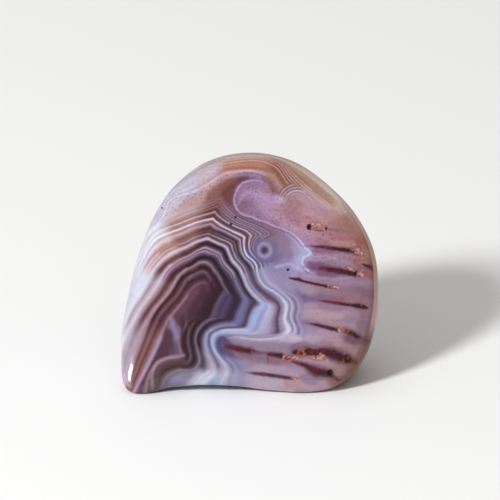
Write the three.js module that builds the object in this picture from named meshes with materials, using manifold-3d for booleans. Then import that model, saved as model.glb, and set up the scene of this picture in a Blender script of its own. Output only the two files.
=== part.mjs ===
// A tumbled, polished piece of banded agate: one solid stone, in millimetres, +Z up, standing on its worn underside.
// The broad polished face looks towards -Y and leans back; the origin is the middle of the stone's box, at its base.
import * as THREE from "three";
import { mergeVertices } from "three/addons/utils/BufferGeometryUtils.js";
import Module from "manifold-3d";

// Driving dimensions.
const LEAN = THREE.MathUtils.degToRad(35); // how far the widest section leans back from upright
const SIGHT = THREE.MathUtils.degToRad(22); // how far the plane that the pits are laid out on leans back
const FACE_EDGE = 1.9; // height of the rounded edge between the widest section and the polished face
const FACE_CROWN = 1.2; // further rise of the face from its edge to its middle
const CROWN_REACH = 17.0; // distance from the middle at which that rise would be used up
const BACK_DEPTH = 11.4; // depth of the back behind the widest section, at mid height
const BACK_TAPER = 0.36; // share by which the back is deeper at the foot and shallower at the crown
const FACE_FLATNESS = 6; // a high power keeps the face level until close to its edge
const BACK_FLATNESS = 2.7;
const SECTION_CENTRE = 14.0; // height, up the leaning section, of the point that the outline is turned about
const SECTION_HALF_HEIGHT = 14.5;
const FOOT_SOFTNESS = 0.5; // height over which the stone's flank rounds into its worn flat
const HOLLOW = { height: 0.8, across: -4.2, halfWidth: 6.4, fade: 0.045 }; // the arch between its two feet
const DETAIL = 17; // subdivision of the stone's mesh
const LOBE_ANGLE = THREE.MathUtils.degToRad(-135); // where the outline turns tightest
const LOBE_FINENESS = 0.4; // share by which the mesh is drawn together there
const PIT_SIDES = 14;
const PIT_RINGS = 8;

// The widest section's outline, counter-clockwise from the crown: [across, up the leaning section].
const OUTLINE = [
  [0.0, 28.95],
  [-4.9, 27.95],
  [-8.8, 25.05],
  [-11.5, 20.95],
  [-13.2, 16.5],
  [-14.4, 11.4],
  [-15.1, 5.1],
  [-15.1, 3.2],
  [-14.95, 1.75],
  [-14.5, 0.65],
  [-13.85, 0.05],
  [-13.1, -0.2],
  [-12.2, -0.12],
  [-11.2, 0.2],
  [-10.2, 0.55],
  [-9.1, 0.8],
  [-5.9, 0.95],
  [-1.2, 0.8],
  [2.9, 0.35],
  [6.4, 0.1],
  [9.4, 0.7],
  [11.75, 2.2],
  [13.6, 4.85],
  [14.65, 8.4],
  [15.0, 12.6],
  [14.5, 17.0],
  [12.5, 21.25],
  [9.1, 25.05],
  [4.9, 27.95],
];

const OUTWARD = new THREE.Vector3(0, 0, 1);

// Open pits in the polished face: place across and up the sighting plane, length, width, depth, and slope in degrees.
const PITS = [
  { across: 6.95, up: 19.35, length: 0.7, width: 0.55, depth: 0.5, slope: -6 },
  { across: 8.0, up: 19.2, length: 1.5, width: 0.5, depth: 0.22, slope: -10 },
  { across: 12.5, up: 16.45, length: 1.2, width: 0.6, depth: 0.25, slope: -12 },
  { across: 12.6, up: 13.95, length: 1.0, width: 0.6, depth: 0.25, slope: -14 },
  { across: 9.4, up: 12.4, length: 1.5, width: 0.3, depth: 0.15, slope: -10 },
  { across: 11.2, up: 7.3, length: 1.6, width: 0.5, depth: 0.22, slope: -14 },
  { across: 4.6, up: 4.1, length: 1.3, width: 0.5, depth: 0.25, slope: -10 },
  { across: 7.9, up: 4.5, length: 1.1, width: 0.5, depth: 0.22, slope: -8 },
  { across: 11.4, up: 4.15, length: 1.2, width: 0.8, depth: 0.35, slope: -20 },
  { across: 9.3, up: 2.45, length: 0.8, width: 0.6, depth: 0.35, slope: -35 },
];

// The outline as a smooth radius about the section's centre, for any angle.
const SPOKES = OUTLINE.map(([across, up]) => {
  const rise = up - SECTION_CENTRE;
  return { angle: Math.atan2(rise, across), radius: Math.hypot(across, rise) };
}).sort((a, b) => a.angle - b.angle);

function spoke(index) {
  const count = SPOKES.length;
  const turns = Math.floor(index / count);
  const { angle, radius } = SPOKES[index - turns * count];
  return { angle: angle + turns * 2 * Math.PI, radius };
}

function outlineRadius(angle) {
  let index = SPOKES.findIndex((s) => s.angle > angle) - 1;
  if (index < -1) index = SPOKES.length - 1;
  const [before, start, end, after] = [-1, 0, 1, 2].map((step) => spoke(index + step));
  const turned = angle < start.angle ? angle + 2 * Math.PI : angle;
  const span = end.angle - start.angle;
  const t = (turned - start.angle) / span;
  const startSlope = ((end.radius - before.radius) / (end.angle - before.angle)) * span;
  const endSlope = ((after.radius - start.radius) / (after.angle - start.angle)) * span;
  return (
    start.radius * (2 * t ** 3 - 3 * t ** 2 + 1) +
    startSlope * (t ** 3 - 2 * t ** 2 + t) +
    end.radius * (3 * t ** 2 - 2 * t ** 3) +
    endSlope * (t ** 3 - t ** 2)
  );
}

// How much of its full height a side has at a share of the way out to the outline.
const rounding = (share, flatness) => Math.sqrt(Math.max(0, 1 - share ** flatness));

// Height of the polished face above the widest section.
function faceHeight(across, rise, share) {
  const crown = FACE_CROWN * (1 - (across ** 2 + rise ** 2) / CROWN_REACH ** 2);
  return rounding(share, FACE_FLATNESS) * (FACE_EDGE + crown);
}

// Depth of the back behind the widest section, with its slow swellings.
function backDepth(across, rise, share) {
  const taper = 1 - (BACK_TAPER * rise) / SECTION_HALF_HEIGHT;
  const swell = 1 + 0.03 * Math.sin(0.25 * across - 0.6) + 0.03 * Math.sin(0.3 * rise - 0.22 * across + 0.9);
  return rounding(share, BACK_FLATNESS) * BACK_DEPTH * taper * swell;
}

// A point of the leaning section's frame, stood up in the part's frame.
function stood(across, up, out) {
  return new THREE.Vector3(
    across,
    up * Math.sin(LEAN) - out * Math.cos(LEAN),
    up * Math.cos(LEAN) + out * Math.sin(LEAN),
  );
}

// The arch that runs back under the stone between its two feet.
function hollow(across, back) {
  const aside = (across - HOLLOW.across) / HOLLOW.halfWidth;
  return HOLLOW.height * Math.max(0, 1 - aside ** 2) ** 2 * Math.max(0.3, 1 - HOLLOW.fade * back);
}

// Whatever would reach below the resting plane is worn flat, with a soft shoulder.
function worn(point) {
  const floor = hollow(point.x, point.y);
  const above = point.z - floor;
  if (above < -FOOT_SOFTNESS) point.z = floor;
  else if (above < FOOT_SOFTNESS) point.z = floor + (above + FOOT_SOFTNESS) ** 2 / (4 * FOOT_SOFTNESS);
  return point;
}

// The stone's surface in a given direction from its middle: out of the face is +Z of the direction.
function surface(direction) {
  const angle = Math.atan2(direction.y, direction.x);
  const share = Math.min(1, Math.hypot(direction.x, direction.y));
  const reach = share * outlineRadius(angle);
  const across = reach * Math.cos(angle);
  const rise = reach * Math.sin(angle);
  const height = direction.z >= 0 ? faceHeight(across, rise, share) : -backDepth(across, rise, share);
  return worn(stood(across, SECTION_CENTRE + rise, height));
}

// The closed mesh of a geometry, as a solid that can be cut.
function solidOf(wasm, geometry) {
  geometry.deleteAttribute("normal");
  geometry.deleteAttribute("uv");
  const merged = mergeVertices(geometry, 1e-4);
  const mesh = new wasm.Mesh({
    numProp: 3,
    vertProperties: merged.attributes.position.array,
    triVerts: new Uint32Array(merged.index.array),
  });
  return new wasm.Manifold(mesh);
}

function geometryOf(solid) {
  const { vertProperties, triVerts } = solid.getMesh();
  const geometry = new THREE.BufferGeometry();
  geometry.setAttribute("position", new THREE.BufferAttribute(vertProperties, 3));
  geometry.setIndex(new THREE.BufferAttribute(triVerts, 1));
  geometry.computeVertexNormals();
  return geometry;
}

// A sphere's mesh, drawn together towards the lobe and pressed into the stone's shape.
function pebble() {
  const geometry = new THREE.IcosahedronGeometry(1, DETAIL);
  const position = geometry.attributes.position;
  const direction = new THREE.Vector3();
  for (let i = 0; i < position.count; i++) {
    direction.fromBufferAttribute(position, i).normalize();
    const angle = Math.atan2(direction.y, direction.x);
    direction.applyAxisAngle(OUTWARD, -LOBE_FINENESS * Math.sin(angle - LOBE_ANGLE));
    position.setXYZ(i, ...surface(direction).toArray());
  }
  return geometry;
}

// Where a line square to the sighting plane meets the face, and which way the face looks there.
function onFace(across, up) {
  const tilt = LEAN - SIGHT;
  let out = FACE_EDGE;
  let rise = 0;
  for (let round = 0; round < 12; round++) {
    rise = (up - out * Math.sin(tilt)) / Math.cos(tilt) - SECTION_CENTRE;
    const share = Math.hypot(across, rise) / outlineRadius(Math.atan2(rise, across));
    out = faceHeight(across, rise, Math.min(1, share));
  }
  return stood(across, SECTION_CENTRE + rise, out);
}

function pit({ across, up, length, width, depth, slope }) {
  const nudge = 0.3;
  const middle = onFace(across, up);
  const right = onFace(across + nudge, up).sub(onFace(across - nudge, up)).normalize();
  const above = onFace(across, up + nudge).sub(onFace(across, up - nudge)).normalize();
  const outward = new THREE.Vector3().crossVectors(right, above).normalize();
  const upward = new THREE.Vector3().crossVectors(outward, right);
  return new THREE.SphereGeometry(1, PIT_SIDES, PIT_RINGS)
    .scale(length / 2, width / 2, depth)
    .rotateZ(THREE.MathUtils.degToRad(slope))
    .applyMatrix4(new THREE.Matrix4().makeBasis(right, upward, outward).setPosition(middle));
}

const wasm = await Module();
wasm.setup();

let stone = solidOf(wasm, pebble());
for (const each of PITS) stone = stone.subtract(solidOf(wasm, pit(each)));

const agate = new THREE.Mesh(
  geometryOf(stone),
  new THREE.MeshStandardMaterial({ color: 0x9a7f8e, roughness: 0.12, metalness: 0 }),
);
agate.name = "agate";

const box = new THREE.Box3().setFromBufferAttribute(agate.geometry.attributes.position);
const middle = box.getCenter(new THREE.Vector3());
agate.position.set(-middle.x, -middle.y, -box.min.z);

const part = new THREE.Group();
part.add(agate);

export default part;
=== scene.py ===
# %% [markdown]
# # A tumbled banded agate
# This lesson builds one polished agate pebble, 30 mm across, and its finish.
# The stone is a single piece of quartz. Its look comes from the bands inside it, so most of the
# lesson is about where a band lies and what colour it has there.
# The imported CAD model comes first. It is the fixed frame that the finer stone has to fill.

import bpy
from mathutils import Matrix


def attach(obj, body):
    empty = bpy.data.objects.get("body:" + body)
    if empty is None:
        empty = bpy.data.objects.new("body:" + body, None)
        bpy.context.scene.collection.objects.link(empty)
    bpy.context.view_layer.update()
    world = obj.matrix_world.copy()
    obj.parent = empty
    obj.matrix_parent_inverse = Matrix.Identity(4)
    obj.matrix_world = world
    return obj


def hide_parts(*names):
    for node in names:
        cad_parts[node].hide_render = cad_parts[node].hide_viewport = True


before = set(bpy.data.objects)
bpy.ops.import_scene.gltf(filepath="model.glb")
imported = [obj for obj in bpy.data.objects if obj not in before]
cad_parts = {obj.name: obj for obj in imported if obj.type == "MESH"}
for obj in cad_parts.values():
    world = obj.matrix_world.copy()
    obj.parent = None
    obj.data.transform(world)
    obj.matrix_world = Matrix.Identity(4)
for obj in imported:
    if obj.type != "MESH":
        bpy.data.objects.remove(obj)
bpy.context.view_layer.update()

# %% Tools that the lesson uses
import math

import bmesh
import bpy
import numpy as np
from mathutils import Vector, noise
from mathutils.bvhtree import BVHTree
from mathutils.geometry import barycentric_transform

# %% [markdown]
# ## The shape of the stone
# A tumbled pebble has no straight line in it, but this one is not a plain egg either. It was cut before
# it was tumbled, so it has one broad flat face and a deep round back, and they meet in a rounded edge.
# It could be sculpted, or made of a sphere with modifiers. Here every point is worked out from an
# angle round the stone and a share of the way out to its edge, because the same few sizes then
# drive the CAD solid and this finer one.
# All sizes are in millimetres until the last step, which turns them into metres.

# %% Driving sizes
MILLIMETRE = 0.001
LEAN = math.radians(35)  # how far the widest section leans back
SIGHT = math.radians(22)  # how far the drawing sheet of the bands leans back
FACE_EDGE = 1.9  # height of the rounded edge between the widest section and the face
FACE_CROWN = 1.2  # further rise of the face to its middle
CROWN_REACH = 17.0  # distance from the middle at which that rise would be used up
BACK_DEPTH = 11.4
BACK_TAPER = 0.36  # share by which the back is deeper at the foot and shallower at the crown
FACE_FLATNESS = 6  # a high power keeps the face level until close to its edge
BACK_FLATNESS = 2.7
SECTION_CENTRE = 14.0  # height, up the leaning section, that the outline is turned about
SECTION_HALF_HEIGHT = 14.5
FOOT_SOFTNESS = 0.5  # height over which the flank rounds into the worn flat
HOLLOW_HEIGHT = 0.8
HOLLOW_ACROSS = -4.2
HOLLOW_HALF_WIDTH = 6.4
HOLLOW_FADE = 0.045  # share of its height that the arch loses with each millimetre back
HOLLOW_LEAST = 0.3
SWELL = 0.03  # share by which two slow waves swell the back
PLACE = Vector((0.059, -9.4197, 0.0))  # from the foot of the leaning section to the part's origin
print("face height at its middle", FACE_EDGE + FACE_CROWN, "mm, back", BACK_DEPTH, "mm")

# %% The widest section's outline, from the crown round to the left
OUTLINE = [
    (0.0, 28.95), (-4.9, 27.95), (-8.8, 25.05), (-11.5, 20.95), (-13.2, 16.5), (-14.4, 11.4),
    (-15.1, 5.1), (-15.1, 3.2), (-14.95, 1.75), (-14.5, 0.65), (-13.85, 0.05), (-13.1, -0.2),
    (-12.2, -0.12), (-11.2, 0.2), (-10.2, 0.55), (-9.1, 0.8), (-5.9, 0.95), (-1.2, 0.8),
    (2.9, 0.35), (6.4, 0.1), (9.4, 0.7), (11.75, 2.2), (13.6, 4.85), (14.65, 8.4),
    (15.0, 12.6), (14.5, 17.0), (12.5, 21.25), (9.1, 25.05), (4.9, 27.95),
]
TURN = 2 * math.pi
rises = [(across, up - SECTION_CENTRE) for across, up in OUTLINE]
spokes = sorted((math.atan2(rise, across), math.hypot(across, rise)) for across, rise in rises)
spokes = [(a - TURN, r) for a, r in spokes[-2:]] + spokes + [(a + TURN, r) for a, r in spokes[:2]]
SPOKE_ANGLE, SPOKE_RADIUS = np.array(spokes).T
SPOKE_SLOPE = np.gradient(SPOKE_RADIUS)
SPOKE_SLOPE[1:-1] = (SPOKE_RADIUS[2:] - SPOKE_RADIUS[:-2]) / (SPOKE_ANGLE[2:] - SPOKE_ANGLE[:-2])


def outline_radius(angle):
    """The outline's radius at any angle, on a smooth curve through its points."""
    before = np.searchsorted(SPOKE_ANGLE, angle, side="right") - 1
    span = SPOKE_ANGLE[before + 1] - SPOKE_ANGLE[before]
    t = (angle - SPOKE_ANGLE[before]) / span
    return (
        SPOKE_RADIUS[before] * (2 * t**3 - 3 * t**2 + 1)
        + SPOKE_SLOPE[before] * span * (t**3 - 2 * t**2 + t)
        + SPOKE_RADIUS[before + 1] * (3 * t**2 - 2 * t**3)
        + SPOKE_SLOPE[before + 1] * span * (t**3 - t**2)
    )


print("outline radius to the crown", outline_radius(np.array([math.pi / 2])).round(2), "mm")


# %% How high the face stands, and how deep the back is
def rounding(share, flatness):
    """Share of its full height that a side has at a share of the way out."""
    return np.sqrt(np.clip(1 - share**flatness, 0, None))


def face_height(across, rise, share):
    """Height of the polished face above the widest section."""
    crown = FACE_CROWN * (1 - (across**2 + rise**2) / CROWN_REACH**2)
    return rounding(share, FACE_FLATNESS) * (FACE_EDGE + crown)


def back_depth(across, rise, share):
    """Depth of the back behind the widest section."""
    taper = 1 - BACK_TAPER * rise / SECTION_HALF_HEIGHT
    swell = 1 + SWELL * np.sin(0.25 * across - 0.6) + SWELL * np.sin(0.3 * rise - 0.22 * across + 0.9)
    return rounding(share, BACK_FLATNESS) * BACK_DEPTH * taper * swell


# %% Stand the stone up, and wear its underside flat
def hollow(x, y):
    """Height of the low arch that runs back under the stone between its two feet."""
    aside = (x - HOLLOW_ACROSS) / HOLLOW_HALF_WIDTH
    fade = np.clip(1 - HOLLOW_FADE * y, HOLLOW_LEAST, None)
    return HOLLOW_HEIGHT * np.clip(1 - aside**2, 0, None) ** 2 * fade


def worn(x, y, z):
    """Heights, with whatever would reach below the resting plane worn flat."""
    floor = hollow(x, y)
    above = z - floor
    shoulder = floor + (above + FOOT_SOFTNESS) ** 2 / (4 * FOOT_SOFTNESS)
    return np.where(above < -FOOT_SOFTNESS, floor, np.where(above < FOOT_SOFTNESS, shoulder, z))


def stone_surface(angle, share, is_face):
    """Points of the stone in the part's frame, one row each, in millimetres."""
    reach = share * outline_radius(angle)
    across = reach * np.cos(angle)
    rise = reach * np.sin(angle)
    out = np.where(is_face > 0.5, face_height(across, rise, share), -back_depth(across, rise, share))
    up = SECTION_CENTRE + rise
    y = up * math.sin(LEAN) - out * math.cos(LEAN)
    z = up * math.cos(LEAN) + out * math.sin(LEAN)
    return np.stack([across, y, worn(across, y, z)], axis=1) + np.array(PLACE)


# %% [markdown]
# ## The stone's mesh
# The bands are only a tenth of a millimetre wide, and their places are kept on the mesh's points. So
# the face needs a fine and very even mesh, finer than the back. A grid that is drawn round into a
# disk is even all over, where a sphere's faces crowd at its poles. Two grids are made, one for the
# face and one for the back. Their borders are extruded ring by ring round the rounded edge, and a
# bridge joins the two last rings.

# %% A square grid, drawn round
FACE_CELLS = 210
BACK_CELLS = 105
FACE_GRID_REACH = 0.93  # share of the way out where the grid ends and the rings begin
BACK_GRID_REACH = 0.75
FACE_RINGS = 12
BACK_RINGS = 30
BACK_LAST_RING = 88.5  # degrees, just short of the widest section, which the face's last ring holds

stone = bmesh.new()
share_of = stone.verts.layers.float.new("share")
angle_of = stone.verts.layers.float.new("angle")
is_face_of = stone.verts.layers.float.new("is_face")


def drawn_round(u, v):
    """Share of the way out and angle, for a place on a square grid from -1 to 1."""
    if abs(u) >= abs(v):
        angle = math.pi / 4 * (v / u if u else 0)
        return abs(u), angle if u >= 0 else angle + math.pi
    angle = math.pi / 2 - math.pi / 4 * (u / v)
    return abs(v), angle if v >= 0 else angle + math.pi


def edges_once(edges):
    """Each edge once, in the order met. A set would give another order, and so another mesh, each run."""
    return list(dict.fromkeys(edges))


def disk(cells, reach, is_face):
    """One side's grid. Returns the edges of its border."""
    corners = bmesh.ops.create_grid(stone, x_segments=cells, y_segments=cells, size=1.0)["verts"]
    for v in corners:
        share, angle = drawn_round(v.co.x, v.co.y)
        v[share_of] = share * reach
        v[angle_of] = math.remainder(angle, TURN)
        v[is_face_of] = is_face
    return edges_once(e for v in corners for e in v.link_edges if e.is_boundary)


face_border = disk(FACE_CELLS, FACE_GRID_REACH, 1.0)
back_border = disk(BACK_CELLS, BACK_GRID_REACH, 0.0)
print("border edges", len(face_border), len(back_border))


# %% Rings round the rounded edge
def ringed(border, rings, reach, flatness, last_ring):
    """Extrudes a border outwards, so that the rings are even along the rounding. Returns the last ring."""
    first_turn = math.asin(reach ** (flatness / 2))
    for step in range(1, rings + 1):
        turn = first_turn + (math.radians(last_ring) - first_turn) * step / rings
        made = bmesh.ops.extrude_edge_only(stone, edges=border)["geom"]
        for v in (g for g in made if isinstance(g, bmesh.types.BMVert)):
            v[share_of] = math.sin(turn) ** (2 / flatness)
        border = [g for g in made if isinstance(g, bmesh.types.BMEdge) and g.is_boundary]
    return border


face_edge = ringed(face_border, FACE_RINGS, FACE_GRID_REACH, FACE_FLATNESS, 90)
back_edge = ringed(back_border, BACK_RINGS, BACK_GRID_REACH, BACK_FLATNESS, BACK_LAST_RING)


def shaped(bm):
    """Puts every point of the mesh where the stone's surface is."""
    bm.verts.ensure_lookup_table()
    values = np.array([(v[angle_of], v[share_of], v[is_face_of]) for v in bm.verts])
    for v, point in zip(bm.verts, stone_surface(*values.T)):
        v.co = point


shaped(stone)
bmesh.ops.bridge_loops(stone, edges=face_edge + back_edge)
bmesh.ops.recalc_face_normals(stone, faces=stone.faces[:])
open_edges = sum(e.is_boundary for e in stone.edges)
print("points", len(stone.verts), "faces", len(stone.faces), "open edges", open_edges)

# %% [markdown]
# ## The drawing sheet of the bands
# The bands of an agate are shells round the place where it grew, and the polished face cuts through
# them. They are drawn on a flat sheet in front of the stone, ruled in small squares, and each point
# of the stone looks up its own place on that sheet. A point of the sides or the back does the same,
# but the sheet is warped a little with depth, so that no side is a plain copy of the face.

# %% Places on the sheet
SQUARE = 0.1172  # size of one square of the sheet, in millimetres
SHEET_MIDDLE = 250.0  # squares across to the stone's middle
SHEET_FOOT = 393.0  # squares down to the line that the stone stands on
SHEET_LOWEST = -3.518  # height of that line on the leaning sheet, in millimetres
WARP_DEPTH = 11.0  # depth at which the warp has its full strength, in millimetres
WARP_TURN = math.radians(9)
WARP_GROWTH = 0.10
WARP_SHIFT = (9.0, -14.0)
WARP_CENTRE = (225.0, 290.0)
WARP_EASE = 1.6  # a power above 1 leaves the rounded edge almost unwarped
SWAY = 5.0  # squares by which the warp also sways, in waves of two lengths
SWAY_DOWN = 21.0
SWAY_ACROSS = 17.0


def on_sheet(points, depth):
    """Each point's place on the sheet, in squares across and down."""
    height = points[:, 1] * math.sin(SIGHT) + points[:, 2] * math.cos(SIGHT)
    across = SHEET_MIDDLE + points[:, 0] / SQUARE
    down = SHEET_FOOT - (height - SHEET_LOWEST) / SQUARE
    strength = np.clip(depth / WARP_DEPTH, 0, 1) ** WARP_EASE
    side = across - WARP_CENTRE[0]
    drop = down - WARP_CENTRE[1]
    turn = WARP_TURN * strength
    growth = 1 - WARP_GROWTH * strength
    turned = side * np.cos(turn) - drop * np.sin(turn), side * np.sin(turn) + drop * np.cos(turn)
    sway = SWAY * strength * np.sin(drop / SWAY_DOWN), SWAY * strength * np.cos(side / SWAY_ACROSS)
    return np.stack(
        [
            WARP_CENTRE[0] + turned[0] * growth + sway[0] + WARP_SHIFT[0] * strength,
            WARP_CENTRE[1] + turned[1] * growth + sway[1] + WARP_SHIFT[1] * strength,
        ],
        axis=1,
    )


# %% [markdown]
# ## Open pits
# Where a thread of iron ore met the face, it fell out in the tumbler and left a short rough pit. The
# pits are dents in the mesh, because a bump in the finish alone would leave their rims flat. The mesh
# is cut finer round each one, and its points are pressed in, most at the middle.

# %% Pits: across and up the sheet, length, width and depth in millimetres, slope in degrees
PITS = [
    (6.95, 19.35, 0.7, 0.55, 0.5, -6),
    (8.0, 19.2, 1.5, 0.5, 0.22, -10),
    (12.5, 16.45, 1.2, 0.6, 0.25, -12),
    (12.6, 13.95, 1.0, 0.6, 0.25, -14),
    (9.4, 12.4, 1.5, 0.3, 0.15, -10),
    (11.2, 7.3, 1.6, 0.5, 0.22, -14),
    (4.6, 4.1, 1.3, 0.5, 0.25, -10),
    (7.9, 4.5, 1.1, 0.5, 0.22, -8),
    (11.4, 4.15, 1.2, 0.8, 0.35, -20),
    (9.3, 2.45, 0.8, 0.6, 0.35, -35),
]
PIT_DEPTH = 4  # where a pit's row holds its depth
PIT_CUTS = 3
PIT_MARGIN = 1.25  # half sizes round a pit where the mesh is cut finer
PIT_GRAIN = 6.0  # crystals to a millimetre on a pit's floor
PIT_RAGGED = 0.16  # share by which crystals break up its rim
CRYSTAL_FINENESS = 1.7
CRYSTAL_RELIEF = 0.25
FLOOR_DEPTH = 0.85  # share of the depth that the floor has between crystals
RIM_PRESS = 1.5  # lets the pit's finish reach its rim


def pit_share(point, pit):
    """Share of the way from a pit's middle to its rim, for a point of the face."""
    across, up, length, width, _, slope = pit
    height = point.y * math.sin(SIGHT) + point.z * math.cos(SIGHT) - SHEET_LOWEST
    side, rise = point.x - across - PLACE.x, height - up
    turn = math.radians(slope)
    along = side * math.cos(turn) + rise * math.sin(turn)
    aside = rise * math.cos(turn) - side * math.sin(turn)
    return math.hypot(along / (length / 2), aside / (width / 2))


def faces_viewer(v):
    return v[is_face_of] > 0.5


for pit in PITS:
    near = [v for v in stone.verts if faces_viewer(v) and pit_share(v.co, pit) < PIT_MARGIN]
    cut = edges_once(e for v in near for e in v.link_edges)
    bmesh.ops.subdivide_edges(stone, edges=cut, cuts=PIT_CUTS, use_grid_fill=True)
stone.normal_update()
pit_of = stone.verts.layers.float.new("pit")
for pit in PITS:
    moves = []
    for v in stone.verts:
        if not faces_viewer(v):
            continue
        share = pit_share(v.co, pit)
        if share >= PIT_MARGIN:
            continue
        ragged = share + PIT_RAGGED * noise.noise(v.co * PIT_GRAIN)
        press = math.sqrt(max(0.0, 1 - ragged**2))
        crystals = CRYSTAL_RELIEF * noise.noise(v.co * PIT_GRAIN * CRYSTAL_FINENESS)
        moves.append((v, v.normal * pit[PIT_DEPTH] * press * (FLOOR_DEPTH + crystals)))
        v[pit_of] = max(v[pit_of], min(1.0, press * RIM_PRESS))
    for v, move in moves:
        v.co -= move
stone.normal_update()
print("pits", len(PITS), "points now", len(stone.verts))

# %% The stone's points, as rows of numbers
stone.verts.ensure_lookup_table()
POINTS = np.array([v.co for v in stone.verts])
SHARES = np.array([v[share_of] for v in stone.verts])
IS_FACE = np.array([v[is_face_of] for v in stone.verts])
PIT_PRESS = np.array([v[pit_of] for v in stone.verts])
LEAN_AXIS = np.array([0, math.cos(LEAN), -math.sin(LEAN)])
behind = (POINTS - np.array(PLACE)) @ LEAN_AXIS
DEPTHS = np.clip(behind, 0, None)
SHEET = on_sheet(POINTS, DEPTHS)
print("sheet from", SHEET.min(0).round(1), "to", SHEET.max(0).round(1), "depth to", DEPTHS.max().round(1))

# %% [markdown]
# ## Nets of drawn lines
# A band that is drawn only as a stripe would have one width for ever. Instead, neighbouring lines are
# the long threads of a net, with cross threads at the corners of the pattern. A small mesh holds the
# net, and each point of the stone asks it two things: which station along the lines it is at, and
# between which lines it lies. Beyond the net, the distance to it goes on counting lines.


# %% A smooth line through drawn points
def smooth_line(points, steps):
    """Places on an even curve through the points, with a number of steps from each to the next."""
    points = np.array(points, float)
    if len(points) < 3:
        return points
    legs = np.diff(points, axis=0)
    length = np.linalg.norm(legs, axis=1)[:, None]
    unit = legs / length
    inner = (unit[1:] * length[:-1] + unit[:-1] * length[1:]) / (length[:-1] + length[1:])
    tangent = np.concatenate([unit[:1], inner, unit[-1:]])
    t = np.linspace(0, 1, steps, endpoint=False)[:, None, None]
    curve = (
        (2 * t**3 - 3 * t**2 + 1) * points[:-1]
        + (t**3 - 2 * t**2 + t) * length * tangent[:-1]
        + (3 * t**2 - 2 * t**3) * points[1:]
        + (t**3 - t**2) * length * tangent[1:]
    )
    return np.concatenate([curve.transpose(1, 0, 2).reshape(-1, 2), points[-1:]])


# %% Ask a net
NET_STEPS = 4
SQUARES_PER_LINE = 6.0  # beyond the net, this many squares count as one line


def ask_net(lines, places):
    """Station along, line across, and distance outside, for each place on the sheet."""
    curves = [smooth_line(line, NET_STEPS) for line in lines]
    stations, last_line = (len(curves[0]) - 1) / NET_STEPS, len(lines) - 1
    net = bmesh.new()
    bmesh.ops.create_grid(net, x_segments=len(curves[0]) - 1, y_segments=last_line, size=1.0)
    net.verts.index_update()
    asked = {}
    for v in net.verts:
        station = round((v.co.x + 1) / 2 * (len(curves[0]) - 1))
        line = round((v.co.y + 1) / 2 * last_line)
        v.co = (*curves[line][station], 0)
        asked[v.index] = Vector((station / NET_STEPS, line, 0))
    bmesh.ops.triangulate(net, faces=net.faces[:])
    net.faces.ensure_lookup_table()
    tree = BVHTree.FromBMesh(net)
    corners = [[v.co.copy() for v in f.verts] for f in net.faces]
    meanings = [[asked[v.index] for v in f.verts] for f in net.faces]
    answers = []
    for across, down in places.tolist():
        spot, _, face, distance = tree.find_nearest(Vector((across, down, 0)))
        told = barycentric_transform(spot, *corners[face], *meanings[face])
        beyond = distance / SQUARES_PER_LINE if told.y > last_line - 0.01 else 0
        before = distance / SQUARES_PER_LINE if told.y < 0.01 else 0
        answers.append((told.x, told.y + beyond - before, distance))
    net.free()
    print("net of", len(lines), "lines and", round(stations) + 1, "stations")
    return np.array(answers)


# %% [markdown]
# ## The fortification
# The main pattern is a nest of angular bands, like the walls of an old fort seen from above. Twelve
# threads are drawn, from the outermost thin one to the edge of the dusky middle, each from the lower
# left over the top to the lower right and back to the foot. They have the same number of corners,
# because the corners of a real fortification lie on straight seams through all the bands.

# %% Its outer threads, in squares across and down
OUTER_THREADS = [
    # outer thread
    [
        (98.5, 400), (108, 345), (116, 315), (126, 290), (137, 258), (148, 236), (176, 216), (214, 202),
        (220, 199), (222.5, 203.5), (235, 216.5), (263, 230), (269, 234), (264, 236.5), (254.5, 246),
        (266, 263.5), (268, 268), (272, 277), (288, 291), (298, 300), (300, 308), (298, 318), (303, 333),
        (298, 339), (262, 345), (236, 346), (231, 348), (233, 352), (241, 360), (250, 368), (252, 374),
        (251.5, 379), (251, 383), (248, 400),
    ],
    # pink thread
    [
        (101, 400), (111, 344), (120, 314), (131, 287), (142, 256), (152, 237.5), (180.7, 223),
        (211, 212.9), (214.7, 212), (218, 215.5), (234, 226), (248.5, 233.2), (250.3, 235.8), (249.2, 239.3),
        (249.9, 251.8), (260.5, 264.5), (261.5, 269), (265, 278), (281, 292.5), (290, 302), (291, 307),
        (289.6, 316), (293.8, 330.5), (290, 335), (262, 341.5), (231, 341), (226, 343.5), (227.5, 348),
        (234, 358), (242, 367), (244, 373), (243.5, 378), (243, 382), (240, 400),
    ],
    # white thread
    [
        (103, 400), (113.5, 343.5), (122.5, 313), (134, 284.5), (145, 255), (154.9, 241.3), (180.7, 229.2),
        (209.5, 218.9), (212.7, 218.3), (216, 221.3), (229, 229.5), (241.3, 235.3), (244.4, 237.4),
        (244, 241), (244.9, 251), (256.7, 265.7), (257.5, 270.5), (261.3, 281.7), (281, 295.7),
        (287.7, 305), (287.1, 310.7), (285.3, 318), (290.4, 330.7), (286.5, 334), (262, 338.9),
        (228, 337.5), (222.5, 340.5), (223.5, 346), (229, 357), (236.5, 366), (238.5, 372), (238, 378),
        (237, 382), (234, 400),
    ],
    # thin thread
    [
        (106, 400), (116.5, 344.5), (124.5, 314.5), (139, 284), (156, 260), (166, 250.3), (186, 243.3),
        (204.5, 234.6), (208.3, 234), (212, 235.3), (220.7, 239.3), (228.5, 242.8), (230.8, 245.1),
        (232, 248.3), (235.3, 256.3), (244.5, 268), (246.6, 272.5), (251.4, 284.3), (267.1, 300.7),
        (272.9, 306.4), (272.5, 311), (270, 320), (266, 333), (260, 335), (245, 335), (224, 335.5),
        (218, 339), (217, 344.5), (223.5, 357), (232.3, 365.5), (234, 371.5), (232.8, 377.5), (231.5, 382),
        (227, 400),
    ],
]
print("outer threads", len(OUTER_THREADS), "of", len(OUTER_THREADS[0]), "points each")

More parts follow.
